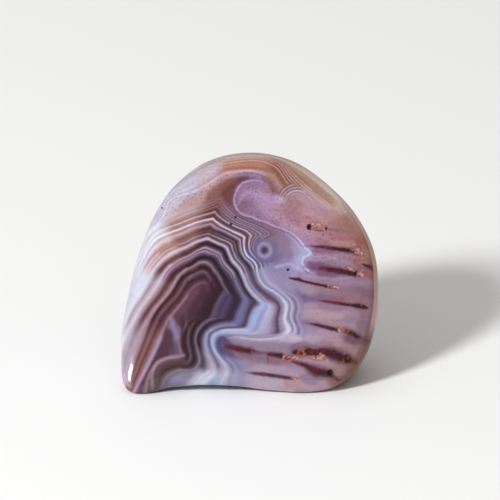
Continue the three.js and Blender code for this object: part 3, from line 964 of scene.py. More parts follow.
# %% Strokes: colour, half width in squares, cover, and the line
STROKES = [
    (
        (202, 162, 164), 3.4, 0.7,
        [(200, 190), (207, 187.5), (213, 184), (219, 179.8), (226, 176.2), (233, 174.4)],
    ),
    ((176, 146, 190), 1.7, 0.65, [(236, 175.4), (243, 174.8), (251, 174.6), (259, 176)]),
    ((164, 132, 168), 4, 0.5, [(259, 175), (259, 182)]),
    ((148, 108, 134), 5, 0.4, [(243, 203), (249, 206)]),
    ((186, 160, 204), 1.8, 0.45, [(239, 203), (241, 198), (246, 193), (255, 192), (262, 197), (275, 201)]),
    (
        (98, 92, 138), 2.4, 0.55,
        [(258, 240), (255.4, 246), (255.4, 253), (258.5, 259), (266, 262), (273, 260)],
    ),
    ((196, 194, 216), 3, 0.5, [(213, 365), (216, 376)]),
    ((184, 184, 224), 3, 0.5, [(304, 253), (299, 258), (298, 263), (301, 268)]),
    ((196, 182, 222), 1.2, 0.4, [(286, 234), (292, 238), (298, 244.5), (303, 251)]),
    ((196, 196, 232), 1.5, 0.5, [(276, 267), (284, 265), (290, 264), (295, 267), (303, 271)]),
    (
        (178, 156, 190), 1.3, 0.35,
        [(304, 268), (308, 260), (316, 256.4), (330, 257.4), (346, 262), (357, 268)],
    ),
    ((184, 164, 198), 1.4, 0.35, [(303, 275), (318, 277.4), (336, 279), (350, 277), (362, 270.5)]),
    ((190, 158, 160), 1.8, 0.35, [(310, 311), (330, 311.4), (350, 313)]),
    ((88, 62, 72), 5, 0.8, [(169.5, 335), (170, 345), (165, 353)]),
    ((146, 130, 168), 2.1, 0.7, [(171, 317), (173.5, 326), (177, 337)]),
    ((116, 98, 138), 1, 0.5, [(175, 338), (176.5, 353)]),
    ((150, 126, 152), 1.1, 0.6, [(178, 336), (179, 344), (180.5, 353)]),
    ((67, 41, 52), 2.4, 0.7, [(182.5, 318), (184, 340), (187, 354)]),
    ((112, 94, 108), 1, 0.4, [(189, 325), (188.5, 340), (191, 355), (188, 362)]),
    ((108, 78, 84), 2.6, 0.6, [(184, 359), (171, 361), (161, 366), (157, 374), (157, 386)]),
    ((174, 152, 172), 1.4, 0.6, [(184, 355), (170, 357), (158, 362), (153, 372), (153, 388)]),
    ((150, 142, 180), 4.5, 0.6, [(174, 380), (184, 379)]),
    ((212, 212, 230), 4.5, 0.6, [(192, 382), (200, 374)]),
    ((226, 228, 240), 1.6, 0.6, [(195, 384), (203, 375), (209, 371)]),
    ((190, 154, 150), 2.4, 0.4, [(218, 371), (222, 367)]),
    ((160, 178, 212), 3, 0.5, [(213, 384), (218, 378)]),
    ((118, 70, 84), 5.5, 0.4, [(298, 363), (312, 367), (329, 372)]),
    ((116, 82, 104), 4, 0.4, [(228, 350), (250, 356), (278, 361)]),
    ((186, 140, 120), 2, 0.35, [(322, 359), (340, 365)]),
    # painted light: a painted reflection of the table along the bottom edge, then a painted sheen down the
    # lower left edge
    ((222, 196, 190), 2, 0.45, [(236, 388.5), (262, 390.5), (292, 390.5)]),
    ((214, 200, 214), 3, 0.4, [(122, 362), (124, 374), (129, 384)]),
]
STROKE_STEPS = 3
stroke = np.zeros((len(SHEET), 3))
stroke_cover = np.zeros(len(SHEET))
for colour, half_width, most, line in STROKES:
    _, aside = beside(smooth_line(line, STROKE_STEPS), SHEET)
    cover = most * np.exp(-((aside / half_width) ** 2)) * (IS_FACE > 0.5)
    stroke = stroke * (1 - cover[:, None]) + cover[:, None] * np.array(light_of(*colour))
    stroke_cover = stroke_cover * (1 - cover) + cover
print("strokes", len(STROKES), "points under them", int((stroke_cover > 0.05).sum()))

# %% [markdown]
# ## Milky and clear places, and painted light
# Chalcedony is milkier in one place and clearer in the next, and bands run on through both. A few
# soft ovals make everything inside them lighter or darker together, so the bands keep their contrast.
# Four of them are painted light instead: a painted highlight by the glint on the lower left lobe, a
# painted reflection of the pale table along the bottom edge, and painted light on the upper right and
# right rim, where light comes through the thin stone and the key leaves shade.

# %% Soft ovals: centre, half sizes, and how much light they return; four of them are painted light
# (138, 374) is a painted highlight, (262, 388) a painted reflection, (346, 204) and (367, 240) painted rim
# light
MILK_AND_LIGHT_OVALS = [
    ((222, 224), (26, 14), 0.87), ((324, 268), (24, 26), 0.91), ((314, 368), (30, 13), 0.86),
    ((252, 357), (26, 8), 0.86), ((271, 306), (10, 36), 1.14), ((346, 204), (26, 18), 1.22),
    ((367, 240), (9, 34), 1.25), ((297, 336), (12, 7), 1.14), ((138, 374), (14, 18), 1.08),
    ((262, 388), (30, 6), 1.2),
]
milk_and_painted_light = np.ones(len(SHEET))
for centre, half_sizes, light in MILK_AND_LIGHT_OVALS:
    away = (SHEET - centre) / half_sizes
    milk_and_painted_light *= 1 + (light - 1) * np.exp(-(away**2).sum(axis=1)) * (IS_FACE > 0.5)
print("light returned", milk_and_painted_light.min().round(2), milk_and_painted_light.max().round(2))

# %% [markdown]
# ## From a bmesh to a piece
# The drawing's answers go onto the finished mesh as named attributes, which the finish reads. An
# attribute is one number or vector for each point, and Blender blends it smoothly over each face, so
# a pattern that is kept in attributes stays on the stone from every side.

# %% The agate piece
mesh = bpy.data.meshes.new("agate_polished")
for v in stone.verts:
    v.co *= MILLIMETRE
stone.to_mesh(mesh)
stone.free()
mesh.shade_smooth()
agate = bpy.data.objects.new("agate_polished", mesh)
bpy.context.scene.collection.objects.link(agate)
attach(agate, "root")
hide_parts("agate")
mesh.calc_loop_triangles()
print("triangles", len(mesh.loop_triangles))


# %% Put the answers on it
def told(name, *columns):
    """A named attribute with up to three numbers for each point."""
    rows = np.zeros((len(POINTS), 3), np.float32)
    for side, column in enumerate(columns):
        rows[:, side] = column
    mesh.attributes.new(name, "FLOAT_VECTOR", "POINT").data.foreach_set("vector", rows.ravel())


told("sheet", SHEET[:, 0], SHEET[:, 1], DEPTHS)
told("fort", *fort.T)
told("rim", *rim.T)
told("cloud", cloud_along, cloud_aside, cloud_strength)
told("ore", ore_aside, ore_fill, ore_strength)
told("wash", *wash.T)
told("stroke", *stroke.T)
told("cover", stroke_cover, milk_and_painted_light)
told("body", SHARES, PIT_PRESS, IS_FACE)
print("attributes", [a.name for a in mesh.attributes])

# %% [markdown]
# ## Writing a finish as sums
# A finish is a web of nodes, and most of them are plain arithmetic. One small class wraps a socket so
# that a sum on sockets adds its own nodes. Every other node comes from a single method.


# %% Sockets that can be added and multiplied
class Strand:
    """One output of the finish's nodes, which can take part in sums."""

    def __init__(self, socket):
        self.socket = socket

    def _sum(self, operation, *others):
        return finish.node("ShaderNodeMath", {"operation": operation}, dict(enumerate(others)))

    def __add__(self, other):
        return self._sum("ADD", self, other)

    def __radd__(self, other):
        return self._sum("ADD", other, self)

    def __sub__(self, other):
        return self._sum("SUBTRACT", self, other)

    def __rsub__(self, other):
        return self._sum("SUBTRACT", other, self)

    def __mul__(self, other):
        return self._sum("MULTIPLY", self, other)

    def __rmul__(self, other):
        return self._sum("MULTIPLY", other, self)

    def __truediv__(self, other):
        return self._sum("DIVIDE", self, other)

    def __rtruediv__(self, other):
        return self._sum("DIVIDE", other, self)

    def __pow__(self, other):
        return self._sum("POWER", self, other)


class Finish:
    """A piece's finish, and the one way in which its nodes are made."""

    def __init__(self, name):
        self.material = bpy.data.materials.new(name)
        self.material.use_nodes = True
        self.web = self.material.node_tree
        self.web.nodes.clear()

    def node(self, kind, settings=None, values=None, output=0):
        """A node of this type, with its settings made first, then its sockets' values or links."""
        made = self.web.nodes.new(kind)
        for name, value in (settings or {}).items():
            if name == "stops":
                self.fill_ramp(made.color_ramp, value)
            else:
                setattr(made, name, value)
        for name, value in (values or {}).items():
            if isinstance(value, Strand):
                self.web.links.new(value.socket, made.inputs[name])
            else:
                made.inputs[name].default_value = value
        return Strand(made.outputs[output]) if len(made.outputs) else made

    def fill_ramp(self, ramp, stops):
        """Elements keep themselves in order of place, so all the places are set before any colour."""
        while len(ramp.elements) < len(stops):
            ramp.elements.new(1.0)
        for element, (place, _) in zip(ramp.elements, stops):
            element.position = place
        for element, (place, colour) in zip(ramp.elements, stops):
            element.position = place
            element.color = colour


finish = Finish("polished_agate")
print("finish", finish.material.name)


# %% Helpers for masks, mixes and ramps
def rise_between(value, start, end):
    """0 below start, 1 above end, and a smooth rise between them."""
    settings = {"interpolation_type": "SMOOTHSTEP", "clamp": True}
    places = {"Value": value, "From Min": start, "From Max": end, "To Min": 0.0, "To Max": 1.0}
    return finish.node("ShaderNodeMapRange", settings, places)


FACTOR, BELOW, ABOVE, MIXED_COLOUR = 0, 6, 7, 2  # a Mix node's sockets for colours


def mixed(below, above, amount):
    """One colour laid over another."""
    settings = {"data_type": "RGBA", "clamp_factor": True}
    values = {FACTOR: amount, BELOW: below, ABOVE: above}
    return finish.node("ShaderNodeMix", settings, values, output=MIXED_COLOUR)


def laid_over(below, levels, amount):
    """One plain colour, given as 0 to 255 levels, laid over the ground."""
    return mixed(below, (*light_of(*levels), 1), amount)


def scaled(colour, amount):
    """A colour made lighter or darker."""
    return finish.node("ShaderNodeVectorMath", {"operation": "SCALE"}, {0: colour, "Scale": amount})


def told_by(name):
    """The three numbers of an attribute of the piece."""
    read = finish.node("ShaderNodeAttribute", {"attribute_name": name}, output=1)
    split = finish.node("ShaderNodeSeparateXYZ", None, {0: read})
    outputs = split.socket.node.outputs
    return read, [Strand(outputs[side]) for side in range(3)]


CLOUD_ROUGHNESS = 0.55


def cloudy(place, scale, detail=2.0, dimensions="3D"):
    """Soft noise from 0 to 1, with so many clouds to a metre."""
    socket = "W" if dimensions == "1D" else "Vector"
    values = {socket: place, "Scale": scale, "Detail": detail, "Roughness": CLOUD_ROUGHNESS}
    return finish.node("ShaderNodeTexNoise", {"noise_dimensions": dimensions}, values)


def crystal_cells(scale):
    """Cells of noise: the distance to each cell's middle, and a number from 0 to 1 that is its own."""
    cells = finish.node("ShaderNodeTexVoronoi", {"feature": "F1"}, {"Vector": place, "Scale": scale})
    own = finish.node("ShaderNodeSeparateColor", None, {0: Strand(cells.socket.node.outputs["Color"])})
    return cells, own


print("helpers ready")


# %% Ramps along a level
MOST_STOPS = 32  # a Color Ramp node holds no more, so a longer run takes two
CRISPNESS = 0.35  # fine lines are drawn a little stronger than they should look, as a lens softens them
CRISP_REACH = 0.5  # stops closer together than this, in levels, get it in full


def crisp(stops):
    """Each stop's colour moved away from its neighbours' mean, most where they are close."""
    sharper = [stops[0]]
    for before, stop, after in zip(stops[:-2], stops[1:-1], stops[2:]):
        amount = CRISPNESS * min(1.0, CRISP_REACH / (after[0] - before[0]))
        colour = [c + amount * (c - (b + a) / 2) for b, c, a in zip(before[1:4], stop[1:4], after[1:4])]
        sharper.append((stop[0], *(min(max(c, 0), BRIGHTEST_LEVEL) for c in colour), *stop[4:]))
    return sharper + [stops[-1]]


def banded(level, stops, lowest_level, highest_level):
    """Colour and cover along a level. Stops are a level, a colour and, where it isn't whole, the cover."""
    reach = highest_level - lowest_level
    place = (level - lowest_level) / reach
    filled = []
    for stop in crisp(stops):
        cover = stop[4] if len(stop) > 4 else 1.0
        filled.append(((stop[0] - lowest_level) / reach, (*light_of(*stop[1:4]), cover)))
    if len(filled) > MOST_STOPS:
        half = len(filled) // 2
        low = finish.node("ShaderNodeValToRGB", {"stops": filled[: half + 1]}, {0: place})
        high = finish.node("ShaderNodeValToRGB", {"stops": filled[half:]}, {0: place})
        past = finish.node("ShaderNodeMath", {"operation": "GREATER_THAN"}, {0: place, 1: filled[half][0]})
        colour = mixed(low, high, past)
        low_cover, high_cover = (Strand(r.socket.node.outputs[1]) for r in (low, high))
        return colour, low_cover + (high_cover - low_cover) * past
    ramp = finish.node("ShaderNodeValToRGB", {"stops": filled}, {0: place})
    return ramp, Strand(ramp.socket.node.outputs[1])


# %% [markdown]
# ## The bands' colours
# Each part of the fort has its own run of colours across the threads: pink and brown on the left,
# cooler on the right, slate and pale blue at the lower right, where the bands swell into facets. A
# run is a ramp along the level, and neighbouring runs melt into each other along the threads.

# %% Read the drawing
place = finish.node("ShaderNodeTexCoord", output=3)
sheet, (across, down, depth) = told_by("sheet")
_, (station, level, _) = told_by("fort")
_, (rim_station, rim_level, rim_gap) = told_by("rim")
_, (_, cloud_gap, cloud_near) = told_by("cloud")
_, (ore_offset, ore_kind, ore_near) = told_by("ore")
washed, _ = told_by("wash")
stroked, _ = told_by("stroke")
_, (stroke_here, milk_and_painted_light_here, _) = told_by("cover")
_, (share, pit_press, is_face) = told_by("body")
WAVER_SCALE = 900.0
waver = cloudy(place, WAVER_SCALE) - 0.5
level = level + waver * 0.16  # levels by which a band wavers
rim_level = rim_level + waver * 0.12
print("nodes so far", len(finish.web.nodes))

# %% Runs of colour across the fort's threads, on the left: level, colour, cover
LOW_FLANK = [
    (0, 214, 214, 230, 0), (1, 216, 214, 230, 0.5), (2.5, 216, 210, 226), (4.5, 205, 200, 216),
    (5.4, 214, 212, 228), (6.05, 188, 172, 190), (7.3, 150, 130, 150), (8.12, 168, 146, 164),
    (8.6, 160, 130, 144), (9.1, 112, 71, 75), (9.6, 122, 82, 84), (10.04, 133, 92, 93),
    (10.33, 110, 69, 68), (10.7, 140, 106, 118), (10.97, 168, 138, 163), (11.15, 155, 126, 148),
    (11.5, 110, 78, 90, 0.5), (11.9, 96, 62, 72, 0),
]
FLANK = [
    (0, 208, 208, 222, 0), (1, 204, 205, 218, 0.7), (1.6, 208, 208, 222), (2.35, 198, 198, 212),
    (3.1, 202, 203, 218), (4.55, 206, 205, 219), (5.2, 170, 145, 155), (5.5, 176, 156, 168),
    (6.08, 203, 188, 203), (6.6, 170, 146, 160), (7.3, 105, 66, 69), (7.6, 116, 78, 80),
    (8.12, 166, 133, 149), (8.5, 150, 116, 130), (9.05, 70, 36, 40), (9.5, 84, 48, 55),
    (10.03, 112, 78, 90), (10.33, 84, 46, 54), (10.7, 104, 68, 78), (10.95, 138, 106, 120),
    (11.3, 104, 72, 84, 0.5), (11.8, 90, 60, 72, 0),
]
UPPER_FLANK = [
    (-0.6, 205, 205, 220, 0), (0, 208, 210, 221, 0.6), (0.5, 214, 214, 226), (1, 204, 206, 217),
    (1.5, 210, 209, 221), (1.95, 214, 211, 223), (2.17, 192, 180, 190), (2.31, 212, 196, 206),
    (2.61, 174, 147, 152), (2.8, 208, 177, 183), (2.92, 188, 157, 163), (3.15, 214, 181, 188),
    (3.75, 178, 151, 160), (4.3, 212, 195, 206), (4.75, 180, 150, 160), (5.27, 110, 72, 76),
    (5.6, 116, 82, 90), (6.1, 195, 167, 188), (6.48, 143, 114, 143), (6.73, 165, 131, 158),
    (7.05, 118, 84, 100), (7.45, 68, 38, 46), (7.8, 100, 68, 80), (8.15, 162, 130, 149),
    (8.55, 140, 107, 122), (9.05, 62, 31, 38), (9.5, 70, 38, 48), (10.03, 112, 78, 96), (10.35, 70, 38, 50),
    (10.7, 90, 56, 68), (10.97, 118, 82, 94), (11.4, 96, 62, 74, 0),
]
LEFT = [
    (-0.7, 201, 200, 214, 0), (-0.23, 226, 226, 240, 0.7), (0.15, 208, 207, 218), (0.52, 193, 193, 204),
    (0.98, 220, 217, 228), (1.5, 199, 195, 207), (1.88, 232, 227, 237), (2.14, 194, 180, 187),
    (2.32, 218, 196, 200), (2.6, 190, 155, 152), (2.73, 168, 131, 125), (2.82, 180, 143, 137),
    (2.92, 168, 132, 126), (3.17, 199, 164, 163), (3.75, 167, 138, 142), (4.4, 222, 193, 201),
    (4.8, 185, 155, 162), (5.2, 128, 90, 94), (5.6, 108, 72, 77), (5.85, 130, 98, 110),
    (6.15, 168, 137, 153), (6.5, 145, 114, 131), (6.78, 157, 125, 139), (7.1, 120, 86, 98),
    (7.6, 67, 35, 47), (7.9, 98, 64, 78), (8.19, 157, 126, 142), (8.6, 144, 112, 128), (9.25, 63, 32, 37),
    (9.7, 76, 44, 54), (10.05, 117, 86, 98), (10.4, 65, 34, 46), (10.75, 90, 58, 72), (10.97, 119, 84, 98),
    (11.4, 96, 62, 74, 0),
]
print("stops on the left", len(LOW_FLANK), len(FLANK), len(UPPER_FLANK), len(LEFT))

# %% Runs over the crown of the fort
LEFT_CROWN = [
    (-0.8, 190, 166, 170, 0), (-0.3, 198, 178, 182, 0.5), (0.16, 184, 156, 159), (0.3, 196, 168, 171),
    (0.45, 180, 148, 151), (0.7, 163, 131, 131), (0.85, 158, 124, 124), (1, 206, 174, 176),
    (1.2, 170, 138, 140), (1.45, 158, 126, 130), (1.7, 172, 140, 146), (1.92, 226, 200, 206),
    (2.12, 165, 132, 140), (2.28, 196, 162, 165), (2.45, 160, 122, 120), (2.62, 130, 90, 86),
    (2.72, 142, 100, 98), (2.82, 138, 98, 98), (2.94, 168, 136, 142), (3.1, 130, 98, 110),
    (3.3, 134, 102, 116), (3.7, 155, 124, 140), (4.35, 208, 182, 198), (4.7, 170, 140, 152),
    (5.1, 112, 78, 86), (5.58, 86, 55, 60), (5.85, 110, 82, 94), (6.15, 162, 138, 154),
    (6.42, 126, 103, 124), (6.8, 148, 119, 140), (7.1, 116, 88, 106), (7.5, 66, 38, 50), (7.85, 58, 33, 46),
    (8.2, 100, 70, 86), (8.62, 146, 117, 131), (9, 108, 78, 92), (9.6, 62, 33, 43), (9.85, 84, 54, 66),
    (10.02, 107, 79, 92), (10.4, 65, 36, 50), (10.75, 90, 58, 74), (10.99, 112, 79, 96),
    (11.4, 92, 60, 74, 0),
]
APEX = [
    (-0.8, 128, 84, 80, 0), (-0.4, 140, 98, 100, 0.6), (-0.2, 134, 90, 92), (-0.05, 150, 106, 109),
    (0.12, 121, 80, 84), (0.24, 145, 103, 107), (0.4, 110, 70, 76), (0.52, 134, 92, 97),
    (0.75, 107, 66, 71), (0.9, 110, 70, 76), (1.05, 176, 139, 144), (1.25, 124, 88, 92),
    (1.55, 104, 68, 72), (1.8, 118, 82, 88), (2, 214, 187, 201), (2.12, 160, 128, 140), (2.23, 112, 80, 92),
    (2.37, 174, 140, 154), (2.5, 120, 84, 94), (2.68, 86, 52, 62), (2.8, 106, 74, 82), (2.9, 84, 52, 60),
    (3.02, 156, 126, 138), (3.25, 112, 84, 98), (3.75, 92, 70, 88), (4.1, 120, 98, 114),
    (4.5, 202, 181, 201), (4.75, 170, 146, 166), (5.1, 84, 56, 68), (5.45, 66, 38, 45), (5.8, 92, 64, 78),
    (6.18, 168, 141, 166), (6.38, 112, 86, 114), (6.6, 128, 102, 130), (6.8, 156, 128, 156),
    (7.1, 110, 84, 104), (7.5, 58, 34, 50), (7.8, 50, 29, 45), (8.2, 110, 84, 106), (8.6, 152, 128, 156),
    (8.9, 112, 84, 106), (9.3, 56, 28, 43), (9.65, 55, 27, 41), (9.85, 84, 56, 74), (10, 110, 82, 98),
    (10.2, 84, 56, 74), (10.45, 63, 35, 52), (10.75, 84, 54, 68), (11, 106, 76, 92), (11.4, 84, 54, 68, 0),
]
EAST = [
    (-1, 140, 110, 136, 0), (-0.8, 142, 110, 137, 0.4), (-0.69, 125, 92, 116, 0.7),
    (-0.6, 140, 108, 134, 0.8), (-0.42, 120, 90, 112, 0.8), (-0.25, 128, 98, 122), (-0.07, 154, 126, 150),
    (0.05, 118, 90, 110), (0.17, 144, 118, 144), (0.28, 118, 92, 116), (0.42, 153, 127, 153),
    (0.57, 114, 90, 112), (0.7, 146, 122, 148), (0.82, 108, 82, 100), (1, 188, 158, 174),
    (1.15, 128, 98, 114), (1.35, 98, 74, 92), (1.65, 110, 86, 104), (1.85, 170, 148, 168),
    (2, 214, 194, 214), (2.1, 130, 110, 132), (2.18, 86, 66, 88), (2.3, 162, 138, 162),
    (2.42, 116, 90, 112), (2.57, 66, 44, 60), (2.75, 108, 84, 94), (2.85, 80, 54, 68), (3, 162, 138, 152),
    (3.2, 112, 88, 108), (3.5, 94, 74, 94), (3.9, 108, 92, 112), (4.2, 160, 146, 168), (4.5, 192, 178, 202),
    (4.8, 140, 118, 138), (5.15, 56, 34, 50), (5.5, 64, 42, 56), (5.85, 104, 82, 102),
    (6.12, 154, 132, 156), (6.42, 110, 92, 118), (6.7, 136, 116, 144), (7, 96, 76, 98), (7.4, 50, 31, 46),
    (7.7, 62, 42, 56), (8.1, 100, 78, 98), (8.5, 136, 111, 137), (8.85, 104, 80, 100), (9.25, 57, 31, 46),
    (9.5, 62, 36, 50), (9.85, 84, 56, 72), (10.03, 98, 71, 90), (10.3, 78, 50, 67), (10.6, 82, 53, 67),
    (10.95, 92, 62, 75), (11.3, 76, 48, 60, 0),
]
print("stops over the crown", len(LEFT_CROWN), len(APEX), len(EAST))

# %% Runs on the right
RIGHT = [
    (-0.8, 141, 128, 165, 0), (-0.4, 138, 124, 162, 0.6), (-0.05, 134, 122, 160), (0.26, 146, 134, 174),
    (0.6, 108, 96, 132), (0.8, 136, 124, 158), (0.92, 174, 162, 196), (1.1, 126, 114, 144),
    (1.38, 98, 88, 118), (1.65, 116, 106, 136), (1.85, 160, 150, 180), (2.03, 208, 200, 228),
    (2.12, 140, 130, 158), (2.2, 98, 90, 118), (2.33, 164, 154, 182), (2.45, 110, 98, 122),
    (2.6, 64, 50, 72), (2.85, 100, 84, 104), (3, 136, 120, 138), (3.18, 160, 144, 164),
    (3.35, 122, 106, 124), (3.65, 98, 86, 106), (3.95, 124, 112, 136), (4.2, 160, 152, 180),
    (4.52, 194, 186, 212), (4.85, 140, 124, 146), (5.25, 50, 34, 50), (5.55, 64, 46, 62),
    (5.85, 112, 94, 116), (6.12, 158, 140, 164), (6.42, 104, 86, 112), (6.72, 122, 102, 132),
    (7, 92, 72, 96), (7.45, 48, 31, 43), (7.8, 64, 44, 56), (8.25, 124, 101, 120), (8.6, 98, 76, 94),
    (9.15, 54, 31, 45), (9.6, 66, 42, 54), (9.9, 76, 48, 62), (10.2, 68, 42, 54), (10.6, 76, 49, 60),
    (11, 70, 45, 57), (11.3, 66, 42, 52, 0),
]
RIGHT_LOW = [
    (-0.8, 148, 137, 166, 0), (-0.4, 152, 141, 172, 0.7), (0, 149, 139, 170), (0.6, 160, 152, 186),
    (0.95, 168, 162, 194), (1.3, 154, 148, 180), (1.8, 148, 144, 174), (2.05, 186, 182, 214),
    (2.2, 150, 144, 176), (2.4, 118, 106, 134), (2.6, 92, 76, 100), (2.85, 112, 96, 122),
    (3.2, 156, 142, 174), (3.7, 138, 130, 164), (4, 148, 142, 174), (4.48, 182, 178, 208),
    (4.8, 150, 144, 172), (5.1, 80, 70, 90), (5.25, 60, 50, 69), (5.6, 78, 64, 86), (6.28, 124, 112, 142),
    (6.6, 104, 92, 120), (6.9, 86, 74, 104), (7.2, 66, 50, 66), (7.5, 52, 36, 48), (7.85, 66, 48, 62),
    (8.3, 112, 91, 113), (8.7, 88, 66, 84), (9.15, 54, 32, 46), (9.6, 62, 38, 46), (10, 64, 36, 49),
    (10.5, 68, 42, 54), (11, 66, 42, 55), (11.2, 64, 40, 53, 0),
]
LOW_RIGHT = [
    (-0.8, 150, 130, 156, 0), (-0.4, 146, 128, 156, 0.6), (0, 150, 138, 172), (0.15, 158, 146, 180),
    (0.45, 126, 116, 150), (0.7, 158, 147, 178), (0.9, 188, 175, 205), (1.1, 160, 150, 180),
    (1.4, 146, 138, 170), (1.75, 168, 160, 190), (1.92, 188, 182, 210), (2.08, 212, 207, 232),
    (2.25, 168, 158, 186), (2.4, 140, 126, 152), (2.55, 96, 78, 106), (2.75, 130, 112, 140),
    (3, 162, 148, 176), (3.4, 168, 156, 186), (4, 172, 166, 198), (4.2, 176, 170, 204),
    (4.4, 156, 156, 196), (4.65, 166, 174, 216), (4.82, 158, 168, 210), (5.1, 120, 112, 146),
    (5.4, 82, 68, 92), (5.8, 92, 80, 110), (6.2, 112, 106, 142), (6.6, 112, 110, 150), (6.9, 92, 86, 120),
    (7.15, 70, 56, 78), (7.6, 60, 45, 63), (7.95, 68, 52, 72), (8.35, 82, 68, 94), (8.5, 76, 62, 88),
    (8.92, 92, 76, 104), (9.1, 78, 60, 82), (9.4, 60, 40, 52), (9.75, 59, 36, 47), (10.3, 63, 39, 49),
    (11, 67, 43, 55), (11.2, 64, 40, 52, 0),
]
print("stops on the right", len(RIGHT), len(RIGHT_LOW), len(LOW_RIGHT))

# %% Runs round the lower right and the foot
SHELF = [
    (0, 150, 130, 156, 0), (0.5, 165, 150, 176, 0.1), (1, 178, 165, 190, 0.3), (1.5, 182, 172, 198, 0.8),
    (2, 190, 184, 208), (2.4, 158, 144, 172), (2.65, 164, 148, 176), (3, 158, 148, 178),
    (3.3, 152, 145, 178), (3.9, 174, 168, 198), (4.2, 181, 176, 205), (4.4, 172, 174, 204),
    (4.7, 186, 188, 217), (4.95, 170, 170, 202), (5.3, 120, 114, 148), (5.62, 98, 90, 125),
    (6, 116, 114, 148), (6.35, 130, 130, 164), (6.8, 104, 96, 128), (7.3, 74, 60, 82), (7.75, 58, 45, 62),
    (8.1, 70, 56, 76), (8.65, 106, 90, 116), (8.95, 90, 72, 94), (9.35, 50, 31, 43), (9.9, 62, 41, 52),
    (10.3, 63, 41, 54), (10.99, 76, 53, 66), (11.2, 72, 48, 60, 0),
]
BEND = [
    (-0.8, 140, 130, 162, 0), (-0.2, 124, 116, 152, 0.4), (0.3, 108, 98, 136, 0.9), (0.9, 96, 86, 122),
    (1.5, 90, 80, 112), (2.1, 92, 82, 116), (2.5, 86, 76, 118), (3, 92, 88, 130), (3.5, 110, 112, 152),
    (4, 136, 142, 182), (4.3, 160, 164, 200), (4.55, 172, 178, 214), (4.8, 156, 160, 196),
    (5.1, 124, 124, 158), (5.4, 102, 100, 134), (5.8, 112, 108, 142), (6.15, 144, 138, 172),
    (6.42, 156, 150, 185), (6.8, 120, 112, 140), (7.2, 80, 66, 88), (7.65, 51, 39, 57), (8, 62, 46, 62),
    (8.3, 94, 78, 94), (8.65, 118, 101, 117), (8.95, 92, 74, 88), (9.45, 47, 29, 40), (9.8, 58, 38, 50),
    (10.13, 86, 64, 77), (10.35, 66, 44, 58), (10.6, 55, 30, 38), (10.8, 66, 40, 48), (11, 100, 72, 82),
    (11.15, 110, 82, 96), (11.5, 90, 62, 76, 0),
]
FOOT = [
    (-0.8, 155, 145, 176, 0), (-0.3, 160, 148, 176, 0.7), (0.6, 152, 142, 174), (1.5, 136, 130, 164),
    (2.5, 152, 146, 182), (3.2, 128, 122, 154), (3.8, 150, 144, 172), (4.45, 186, 180, 206),
    (4.85, 160, 150, 178), (5.45, 114, 106, 134), (5.9, 134, 124, 150), (6.43, 170, 160, 184),
    (6.8, 150, 140, 162), (7.3, 106, 92, 108), (7.72, 88, 70, 86), (8.1, 102, 86, 104),
    (8.68, 132, 115, 132), (9.1, 88, 70, 84), (9.52, 54, 38, 50), (9.8, 66, 48, 60), (10.1, 88, 70, 82),
    (10.35, 66, 42, 52), (10.52, 57, 32, 42), (10.8, 84, 54, 66), (11, 114, 84, 98), (11.2, 120, 90, 104),
    (11.6, 92, 64, 76, 0),
]
HEEL = [
    (-0.8, 178, 160, 180, 0), (-0.2, 174, 160, 184, 0.7), (0.5, 170, 156, 184), (1.1, 160, 146, 178),
    (1.9, 158, 152, 182), (2.8, 162, 158, 190), (3.6, 154, 152, 182), (4.1, 176, 174, 200),
    (4.5, 196, 194, 218), (4.9, 180, 180, 208), (5.2, 168, 172, 204), (5.55, 166, 172, 202),
    (5.85, 196, 200, 220), (6.15, 212, 214, 232), (6.45, 190, 190, 212), (6.85, 150, 142, 164),
    (7.2, 128, 116, 134), (7.5, 132, 122, 146), (7.9, 122, 106, 128), (8.35, 132, 116, 132),
    (8.9, 104, 82, 94), (9.45, 78, 54, 64), (9.9, 84, 60, 66), (10.3, 92, 64, 69), (10.7, 108, 80, 88),
    (11, 138, 110, 124), (11.3, 128, 100, 114), (11.8, 100, 70, 82, 0),
]
print("stops round the foot", len(SHELF), len(BEND), len(FOOT), len(HEEL))

# %% Join the runs along the fort's threads: each run, and the stations that it comes in between
LOWEST_LEVEL = -1.0
HIGHEST_LEVEL = 12.0
fort_colour, fort_cover = banded(level, LOW_FLANK, LOWEST_LEVEL, HIGHEST_LEVEL)
for run, start, end in (
    (FLANK, 1.1, 1.9), (UPPER_FLANK, 3.2, 3.8), (LEFT, 4.3, 4.8), (LEFT_CROWN, 5.3, 5.8),
    (APEX, 6.3, 7.0), (EAST, 8.7, 9.8), (RIGHT, 13.4, 14.2), (RIGHT_LOW, 15.3, 16.3),
    (LOW_RIGHT, 17.8, 19.0), (SHELF, 22.1, 23.0), (BEND, 24.4, 25.4), (FOOT, 27.4, 28.4), (HEEL, 29.4, 30.8),
):
    colour, cover = banded(level, run, LOWEST_LEVEL, HIGHEST_LEVEL)
    here = rise_between(station, start, end)
    fort_colour = mixed(fort_colour, colour, here)
    fort_cover = fort_cover + (cover - fort_cover) * here
print("nodes so far", len(finish.web.nodes))

